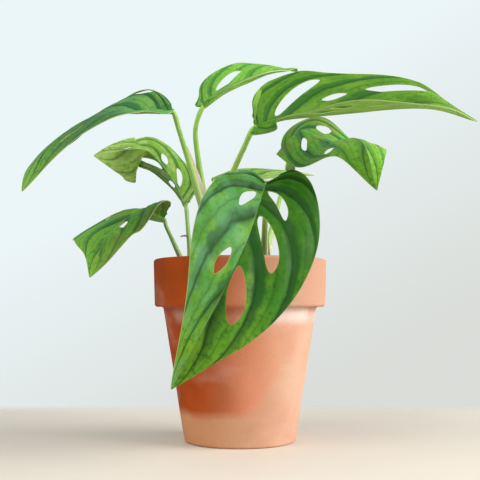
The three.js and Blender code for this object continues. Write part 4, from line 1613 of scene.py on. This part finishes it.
    def solid(self) -> Sheet:
        """Gives the blade its relief, its thickness, a midrib below, and a wall on its edges.

        Returns:
            A closed mesh: finish 0 is the upper face, 1 the lower face and 2 the edges.
        """
        spots, triangles = self.plan()
        t, s = np.abs(spots[:, 0]), spots[:, 1]
        right = spots[:, 0] >= 0
        points = np.empty((len(spots), 3))
        values = {key: np.empty(len(spots)) for key in ("vein", "across", "along", "half")}
        for half, side, chosen in ((self.leaf.right, 1, right), (self.leaf.left, -1, ~right)):
            points[chosen], numbers = self.surface(half, side, s[chosen], t[chosen])
            for key, column in values.items():
                column[chosen] = numbers[key]
        normals = self.normals(points, triangles)
        middle = points + normals * self.leaf.quilt.relief(values, s, t)[:, None]
        taper = np.clip(1 - values["along"], 0, 1) ** self.rib_taper
        width = self.rib_width * (self.rib_tip + (1 - self.rib_tip) * taper)
        rib = self.rib_depth * taper * np.exp(-((values["across"] / width) ** 2))
        upper = middle + normals * (self.thickness / 2)
        lower = middle - normals * (self.thickness / 2 + rib)[:, None]
        count = len(points)
        edges = np.vstack([triangles[:, [0, 1]], triangles[:, [1, 2]], triangles[:, [2, 0]]])
        codes = edges[:, 0] * count + edges[:, 1]
        back = edges[:, 1] * count + edges[:, 0]
        open_edges = edges[~np.isin(codes, back)]
        a, b = open_edges.T
        walls = np.vstack([np.stack([a, a + count, b + count], -1),
                           np.stack([a, b + count, b], -1)])
        values["rim"] = self.nearest(points, points[np.unique(open_edges)])
        return Sheet(
            np.vstack([upper, lower]),
            np.vstack([triangles, triangles[:, ::-1] + count, walls]),
            {key: np.tile(column, 2) for key, column in values.items()},
            np.repeat([0, 1, 2], [len(triangles), len(triangles), len(walls)]),
        )

    @staticmethod
    def normals(points: Array, triangles: Array) -> Array:
        """Gives each point the mean heading of its triangles, weighted by their areas."""
        a, b, c = (points[triangles[:, k]] for k in range(3))
        slope = np.cross(b - a, c - a)
        total = np.zeros_like(points)
        for k in range(3):
            np.add.at(total, triangles[:, k], slope)
        return unit(total)

    @staticmethod
    def nearest(points: Array, rim: Array) -> Array:
        """Gives each point's distance to the nearest point of the rim."""
        square = np.sum(points**2, -1)[:, None] + np.sum(rim**2, -1) - 2 * points @ rim.T
        return np.sqrt(np.maximum(square.min(axis=1), 0))

    def build(self, materials: Sequence[bpy.types.Material]) -> bpy.types.Object:
        """Builds the blade in place of its solid."""
        piece = self.solid().piece(f"{self.leaf.node}_blade", materials, sharp=55)
        return place(piece, self.leaf.slot, self.leaf.node)


# Vines


@dataclass(frozen=True)
class Stalk:
    """A leaf's stalk.

    Attributes:
        leaf: The node of the leaf that it carries.
        seat: How far before the leaf's base it starts to run under the midrib, in millimetres.
        radii: Its radius at the foot, the middle and the top.
        route: The points that it passes.
        sheath: The share of its length that a winged sheath covers.
        wing: How wide the sheath's wing is, below 0 on the left.
    """

    leaf: str
    seat: float
    radii: Triple
    route: tuple[Triple, ...]
    sheath: float = 0.0
    wing: float = 2.0


@dataclass(frozen=True)
class Vine:
    """A short vine: a stem that stands in the soil, with its leaf stalks.

    Attributes:
        node: The solid that it stands for.
        finish: Its finish.
        stem: The stem's route.
        radii: The stem's radius at the foot, the middle and the top.
        stalks: The leaf stalks.
        root: The route of an aerial root, where it has one.
    """

    node: str
    finish: StalkFinish
    stem: tuple[Triple, ...]
    radii: Triple
    stalks: tuple[Stalk, ...]
    root: tuple[Triple, ...] = ()


VINES = (
    Vine(
        "vine_left", PALE_STALK,
        stem=((-33, 14, 83), (-33, 14, 99), (-32.8, 15, 104), (-32.4, 17, 108)),
        radii=(2.7, 2.6, 2),
        stalks=(
            Stalk("leaf_left_middle", 0.6, (2.3, 1.5, 1.25),
                  ((-33, 14, 100), (-31.8, 20, 107), (-32.1, 22.8, 115.7),
                   (-33.7, 25.6, 132.2))),
            Stalk("leaf_left_low", 0.65, (2.3, 1.5, 1.1),
                  ((-33, 14, 99), (-35, 11, 106), (-37.8, 11.4, 112),
                   (-43, 13.6, 123.1), (-46.8, 16.2, 131.1))),
        ),
        root=((-32.6, 24.4, 125), (-35, 22.4, 125.4), (-37.8, 20.4, 124.8)),
    ),
    Vine(
        "vine_middle", GREEN_STALK,
        stem=((-17, -10, 83), (-17, -10, 98), (-16.9, -10.5, 107), (-17.3, -12.5, 120),
              (-18.6, -14, 130)),
        radii=(2.9, 2.7, 2.2),
        stalks=(
            Stalk("leaf_right_high", 0.5, (2.5, 1.8, 1.3),
                  ((-17.3, -12.5, 119), (-15.5, -18, 129), (-12.5, -24.7, 138.3),
                   (-2.5, -49.9, 158), (2.2, -61.4, 166.3))),
            Stalk("leaf_left_high", 0.35, (2.5, 1.7, 1.3),
                  ((-18.3, -13.8, 127), (-23.6, -22, 142.7), (-29, -32.7, 161.5),
                   (-34.8, -41.3, 180.4)), sheath=0.7, wing=4.2),
            Stalk("leaf_top", 0.5, (2.6, 1.7, 1.25),
                  ((-18.6, -14, 129), (-21.3, -20, 145.9), (-24.2, -30.4, 164.9),
                   (-25.4, -38.1, 182.4)), sheath=0.5, wing=-2.4),
        ),
    ),
    Vine(
        "vine_right", GREEN_STALK,
        stem=((13, 6, 83), (13, 6, 98), (13, 6.3, 104), (13, 7, 108)), radii=(2.9, 2.7, 2.2),
        stalks=(
            Stalk("leaf_front", 0.8, (2.5, 1.8, 1.15),
                  ((13, 6, 101), (14.4, -4, 107), (14.5, -18, 119),
                   (14.6, -36, 134), (14.7, -50, 146.5)), sheath=0.4),
            Stalk("leaf_right_middle", 0.5, (2.4, 1.6, 1.25),
                  ((13, 6.5, 104), (15, 10, 111.6), (19.7, 20.6, 127.1),
                   (26, 33.7, 150.1), (30.2, 44.1, 166.9)), sheath=0.35),
            Stalk("leaf_back", 0.4, (2.4, 1.5, 1.2),
                  ((13, 7, 104), (10, 13, 110.5), (2, 34, 126.9),
                   (-8.2, 60, 147.7), (-15, 73.5, 158.5))),
        ),
    ),
)


def route_curve(points: Array, step: float) -> Array:
    """Walks the smooth curve through points in even steps.

    Between two points it is a cubic. Its slopes are weighted by the square roots of the steps
    before and after, so that it makes no loop between points that lie close together.

    Args:
        points: The points, one a row.
        step: The step's length in millimetres.

    Returns:
        The curve's points, about a step apart.
    """
    padded = np.vstack([2 * points[0] - points[1], points, 2 * points[-1] - points[-2]])
    span = np.sqrt(np.linalg.norm(np.diff(padded, axis=0), axis=1))
    share = np.linspace(0, len(points) - 1, 60 * (len(points) - 1) + 1)
    i = np.minimum(share.astype(int), len(points) - 2)
    f = (share - i)[:, None]
    a, b, c, d = (padded[i + k] for k in range(4))
    before, here, after = (span[i + k][:, None] for k in range(3))
    leave = ((b - a) / before - (c - a) / (before + here) + (c - b) / here) * here
    arrive = ((c - b) / here - (d - b) / (here + after) + (d - c) / after) * here
    curve = ((2 * b - 2 * c + leave + arrive) * f**3 + (3 * c - 3 * b - 2 * leave - arrive) * f**2
             + leave * f + b)
    length = walked(curve)[-1]
    return along_line(curve, np.linspace(0, length, max(int(length / step), 8) + 1))


@dataclass(frozen=True)
class Sheath:
    """A thin pale wing down one side of a stalk's foot. Sizes are in millimetres.

    Attributes:
        stalk: The stalk.
        facing: The way that the wing's flat side faces.
        start: Where it starts inside the stalk, as a share of the radius.
        skin: How far the stalk's skin lies beyond that, as a share of it.
        narrowing: The power by which it narrows upwards.
        foot: The share of its length over which it widens at the foot.
        least: Its least width.
        curl: How far its free edge waves, as a share of the width, and the wave's turn along
            the sheath and start, in radians.
        half_thick: Half its thickness at the stalk.
        thinning: How much of that its free edge lacks.
        columns: How many points it has across.
    """

    stalk: Stalk
    facing: Triple = (0.0, -1.0, 0.35)
    start: float = 0.6
    skin: float = 0.67
    narrowing: float = 0.8
    foot: float = 0.15
    least: float = 0.3
    curl: Triple = (0.3, 5, 1)
    half_thick: float = 0.16
    thinning: float = 0.1
    columns: int = 9

    def middle(self, centres: Array, share: Array) -> tuple[Array, Array]:
        """Lays out the wing's middle surface.

        It starts inside the stalk and runs out sideways. Its width is the stalk's wing times
        the share of the length that is left, to the power of the narrowing, eased in at the
        foot. The free edge waves forwards and back by a sine of the share.

        Args:
            centres: The stalk's centres along the sheath.
            share: The share of the sheath's length at each.

        Returns:
            The points, a row for each centre, and the way forwards at each.
        """
        side = 1 if self.stalk.wing > 0 else -1
        along = unit(np.gradient(centres, axis=0))
        sideways = unit(np.cross(along, self.facing)) * side
        front = np.cross(sideways, along)
        inner = (parabola(self.stalk.radii, share * self.stalk.sheath) * self.start)[:, None]
        width = (abs(self.stalk.wing) * (1 - share) ** self.narrowing * ease(share, 0, self.foot)
                 + self.least)[:, None]
        across = np.linspace(0, 1, self.columns)
        reach = inner + (inner * self.skin + width) * across
        size, turn, start = self.curl
        curl = size * width * across**2 * np.sin(turn * share + start)[:, None]
        middle = (centres[:, None] + sideways[:, None] * reach[..., None]
                  + front[:, None] * curl[..., None])
        return middle, front

    def sheet(self, path: Array) -> Sheet:
        """Gives the wing its thickness, less at its free edge, and closes its ends.

        Args:
            path: The whole stalk's centres.

        Returns:
            A closed thin sheet.
        """
        centres = path[: int(len(path) * self.stalk.sheath)]
        share = np.linspace(0, 1, len(centres))
        middle, front = self.middle(centres, share)
        across = np.linspace(0, 1, self.columns)
        half = (self.half_thick - self.thinning * across)[None, :, None] * front[:, None]
        loop = np.concatenate([middle + half, (middle - half)[:, ::-1]], axis=1)
        rows, columns = loop.shape[:2]
        cap = grid_triangles(2, self.columns)
        ends = np.concatenate([np.arange(self.columns),
                               np.arange(columns - 1, self.columns - 1, -1)])
        foot = ends[cap][:, ::-1]
        top = foot[:, ::-1] + (rows - 1) * columns
        values = {"share": np.repeat(share, columns),
                  "turn": np.tile(np.linspace(0, 1, columns), rows)}
        triangles = np.vstack([grid_triangles(rows, columns, loop=True), foot, top])
        return outward_facing(Sheet(loop.reshape(-1, 3), triangles, values))


@dataclass
class Stems:
    """Builds a vine's stem, stalks, sheaths and root. Sizes are in millimetres.

    Attributes:
        vine: The vine.
        sides: How many sides a stalk's section has.
        step: How far its sections are apart.
        sunk: How far the stalk's end reaches under the leaf's midrib.
        lie: How far below the midrib it starts to run there, and how far it ends.
        swelling: The share of the radius by which a knuckle swells.
        knuckle: Where the stalk's knuckle is before its end, and how far it spreads.
        joint: Where the stem's joint is above its foot, and how far it spreads.
        closing: The share of its radius that the stalk's end loses.
        groove: How deep its channel is, as a share of the radius, and, as shares of a turn,
            where it runs and how far it spreads.
        root_radii: The aerial root's radius at the foot, the middle and the tip.
        root_sides: How many sides its section has.
    """

    vine: Vine
    sides: int = 24
    step: float = 0.8
    sunk: float = 1.6
    lie: tuple[float, float] = (0.5, 1.1)
    swelling: float = 0.12
    knuckle: tuple[float, float] = (6, 3.2)
    joint: tuple[float, float] = (17, 1.4)
    closing: float = 0.45
    groove: Triple = (0.12, 0.25, 0.08)
    root_radii: Triple = (0.75, 0.6, 0.4)
    root_sides: int = 14

    def path(self, stalk: Stalk) -> Array:
        """Gives a stalk's path, bent at its end to run under its leaf's midrib."""
        leaf = next(leaf for leaf in LEAVES if leaf.node == stalk.leaf)
        places, along, up, _ = (row[0] for row in Midrib(leaf).frame(np.zeros(1)))
        end = [places - along * stalk.seat - up * self.lie[0],
               places + along * self.sunk - up * self.lie[1]]
        return route_curve(np.array([*stalk.route, *end], float), self.step)

    def swollen(self, reach: Array, place_at: float, spread: float) -> Array:
        """Gives the factor on the radius round a knuckle: a bell curve of the distance."""
        return 1 + self.swelling * np.exp(-(((reach - place_at) / spread) ** 2))

    def stalk(self, stalk: Stalk) -> Sheet:
        """Builds a stalk: its radius a parabola along it, swollen just under the leaf.

        Args:
            stalk: The stalk.

        Returns:
            A closed tube with a shallow channel on one side.
        """
        centres = self.path(stalk)
        share = np.linspace(0, 1, len(centres))
        left = (1 - share) * len(centres) * self.step
        close = 1 - self.closing * ease(-left, -self.sunk, 0)
        radii = parabola(stalk.radii, share) * self.swollen(left, *self.knuckle) * close
        turn = np.arange(self.sides) / self.sides
        depth, runs_at, spread = self.groove
        channel = 1 - depth * np.exp(-(((turn - runs_at) / spread) ** 2))
        return tube(centres, radii, self.sides, np.ones((len(centres), 1)) * channel)

    def build(self) -> list[bpy.types.Object]:
        """Builds the vine's pieces.

        Returns:
            The green parts in place of the solid, the sheaths, and the root.
        """
        stem = route_curve(np.array(self.vine.stem, float), self.step)
        share = np.linspace(0, 1, len(stem))
        radii = parabola(self.vine.radii, share)
        radii = radii * self.swollen(share * len(stem) * self.step, *self.joint)
        stalks = [tube(stem, radii, self.sides), *map(self.stalk, self.vine.stalks)]
        parts = [(joined(stalks), "stalks", self.vine.finish, [self.vine.node])]
        sheaths = [Sheath(stalk).sheet(self.path(stalk)) for stalk in self.vine.stalks
                   if stalk.sheath]
        if sheaths:
            parts.append((joined(sheaths), "sheaths", SHEATH, []))
        if self.vine.root:
            route = route_curve(np.array(self.vine.root, float), self.step / 2)
            radii = parabola(self.root_radii, np.linspace(0, 1, len(route)))
            root = tube(route, radii, self.root_sides)
            parts.append((root, "root", ROOT, []))
        return [place(sheet.piece(f"{self.vine.node}_{name}", [finish.material()]), Slot.STALK,
                      *nodes) for sheet, name, finish, nodes in parts]


# Studio


@dataclass(frozen=True)
class Lamp:
    """A soft square light that faces the plant.

    Attributes:
        name: The light's name.
        place_at: Where it hangs, in metres.
        side: Its side in metres.
        power: Its power in watts.
        colour: Its colour.
    """

    name: str
    place_at: Triple
    side: float
    power: float
    colour: Triple

    def hang(self, aim: Triple) -> None:
        """Hangs the light, turned towards a place."""
        data = bpy.data.lights.new(self.name, "AREA")
        data.size = self.side
        data.energy = self.power
        data.color = self.colour
        light = bpy.data.objects.new(self.name, data)
        light.location = self.place_at
        heading = Vector(aim) - Vector(self.place_at)
        light.rotation_euler = heading.to_track_quat("-Z", "Y").to_euler()
        bpy.context.scene.collection.objects.link(light)


@dataclass
class Studio:
    """The camera, the lights, the floor and the pale air behind. Places are in metres.

    Attributes:
        focal: The lens in millimetres.
        sensor: The sensor's width in millimetres.
        eye: Where the camera stands.
        pitch: How far it looks up, in degrees.
        aim: Where the lights point.
        lamps: The lights.
        floor_side: Half the floor's side in millimetres.
        floor_colour: The floor's colour.
        deep: Where the floor starts to fade along Y, and where it is gone.
        wide: The same along X.
        low_air: The air's colour low down and at the right.
        high_air: Its colour above and at the left.
        heading: The way in which the air gets paler.
        horizon: How far below the horizon the air starts to get paler, as a slope.
        fade: The slope over which it does.
        ambient: How strongly the air lights the plant, against how bright it looks.
    """

    focal: float = 63.75
    sensor: float = 36
    eye: Triple = (0, -0.519, 0.0787)
    pitch: float = 4.64
    aim: Triple = (0, -0.02, 0.12)
    lamps: tuple[Lamp, ...] = (
        Lamp("window", (1.08, -0.3, 0.62), 1.0, 22.5, (1, 0.96, 0.95)),
        Lamp("sky", (-0.6, -0.6, 1.0), 0.9, 9, (1, 0.97, 0.92)),
    )
    floor_side: float = 450
    floor_colour: Triple = (0.67, 0.61, 0.53)
    deep: tuple[float, float] = (0.14, 0.19)
    wide: tuple[float, float] = (0.3, 0.42)
    low_air: Triple = (0.7, 0.72, 0.69)
    high_air: Triple = (0.83, 0.92, 0.94)
    heading: Triple = (-0.55, 0, 1)
    horizon: float = 0.14
    fade: float = 0.36
    ambient: float = 0.56

    def camera(self) -> None:
        """Makes the camera at the photograph's viewpoint."""
        data = bpy.data.cameras.new("viewpoint")
        data.lens = self.focal
        data.sensor_width = self.sensor
        camera = bpy.data.objects.new("viewpoint", data)
        camera.location = self.eye
        camera.rotation_euler = (np.radians(90 + self.pitch), 0, 0)
        bpy.context.scene.collection.objects.link(camera)
        bpy.context.scene.camera = camera

    def floor(self) -> None:
        """Lays a plain pale floor that fades out behind the plant and far to its sides."""
        shader = Shader("floor")
        x, y, _ = shader.axes()
        fades = [shader.rise(shader.math("ABSOLUTE", axis), *ends, (1, 0))
                 for axis, ends in ((y, self.deep), (x, self.wide))]
        corners = [(-1, -1, 0), (1, -1, 0), (1, 1, 0), (-1, 1, 0)]
        floor = Sheet(self.floor_side * np.array(corners, float),
                      np.array([(0, 1, 2), (0, 2, 3)]), {})
        material = shader.finish(Base_Color=(*self.floor_colour, 1), Roughness=0.6,
                                 Alpha=shader.times(*fades))
        floor.piece("floor", [material])

    def air(self) -> None:
        """Fills the world with pale air, whiter above and greyer low down and to the right."""
        world = bpy.data.worlds.new("pale_air")
        world.use_nodes = True
        nodes, links = world.node_tree.nodes, world.node_tree.links
        tilt = nodes.new("ShaderNodeVectorMath")
        tilt.operation = "DOT_PRODUCT"
        links.new(nodes.new("ShaderNodeTexCoord").outputs["Generated"], tilt.inputs[0])
        tilt.inputs[1].default_value = self.heading
        shift = nodes.new("ShaderNodeMath")
        shift.operation = "ADD"
        shift.inputs[1].default_value = self.horizon
        links.new(tilt.outputs["Value"], shift.inputs[0])
        ramp = nodes.new("ShaderNodeValToRGB")
        for stop, place_at, colour in zip(ramp.color_ramp.elements, (0, self.fade),
                                          (self.low_air, self.high_air)):
            stop.position = place_at
            stop.color = (*colour, 1)
        links.new(shift.outputs[0], ramp.inputs["Fac"])
        strength = nodes.new("ShaderNodeMapRange")
        strength.inputs["To Min"].default_value = self.ambient
        links.new(nodes.new("ShaderNodeLightPath").outputs["Is Camera Ray"],
                  strength.inputs["Value"])
        background = nodes["Background"]
        links.new(ramp.outputs["Color"], background.inputs["Color"])
        links.new(strength.outputs["Result"], background.inputs["Strength"])
        bpy.context.scene.world = world

    def build(self) -> None:
        """Sets up the whole studio."""
        bpy.context.scene.view_settings.view_transform = "Standard"
        self.air()
        self.camera()
        self.floor()
        for lamp in self.lamps:
            lamp.hang(self.aim)


def main() -> None:
    """Builds the plant and its studio."""
    logging.basicConfig(level=logging.INFO, format="%(message)s")
    Studio().build()
    Pot().build()
    Soil().build()
    for vine in VINES:
        Stems(vine).build()
    finishes = {leaf.finish: [leaf.finish.upper(), leaf.finish.lower(), leaf.finish.edge()]
                for leaf in LEAVES}
    for leaf in LEAVES:
        Blade(leaf).build(finishes[leaf.finish])


if __name__ == "__main__":
    main()
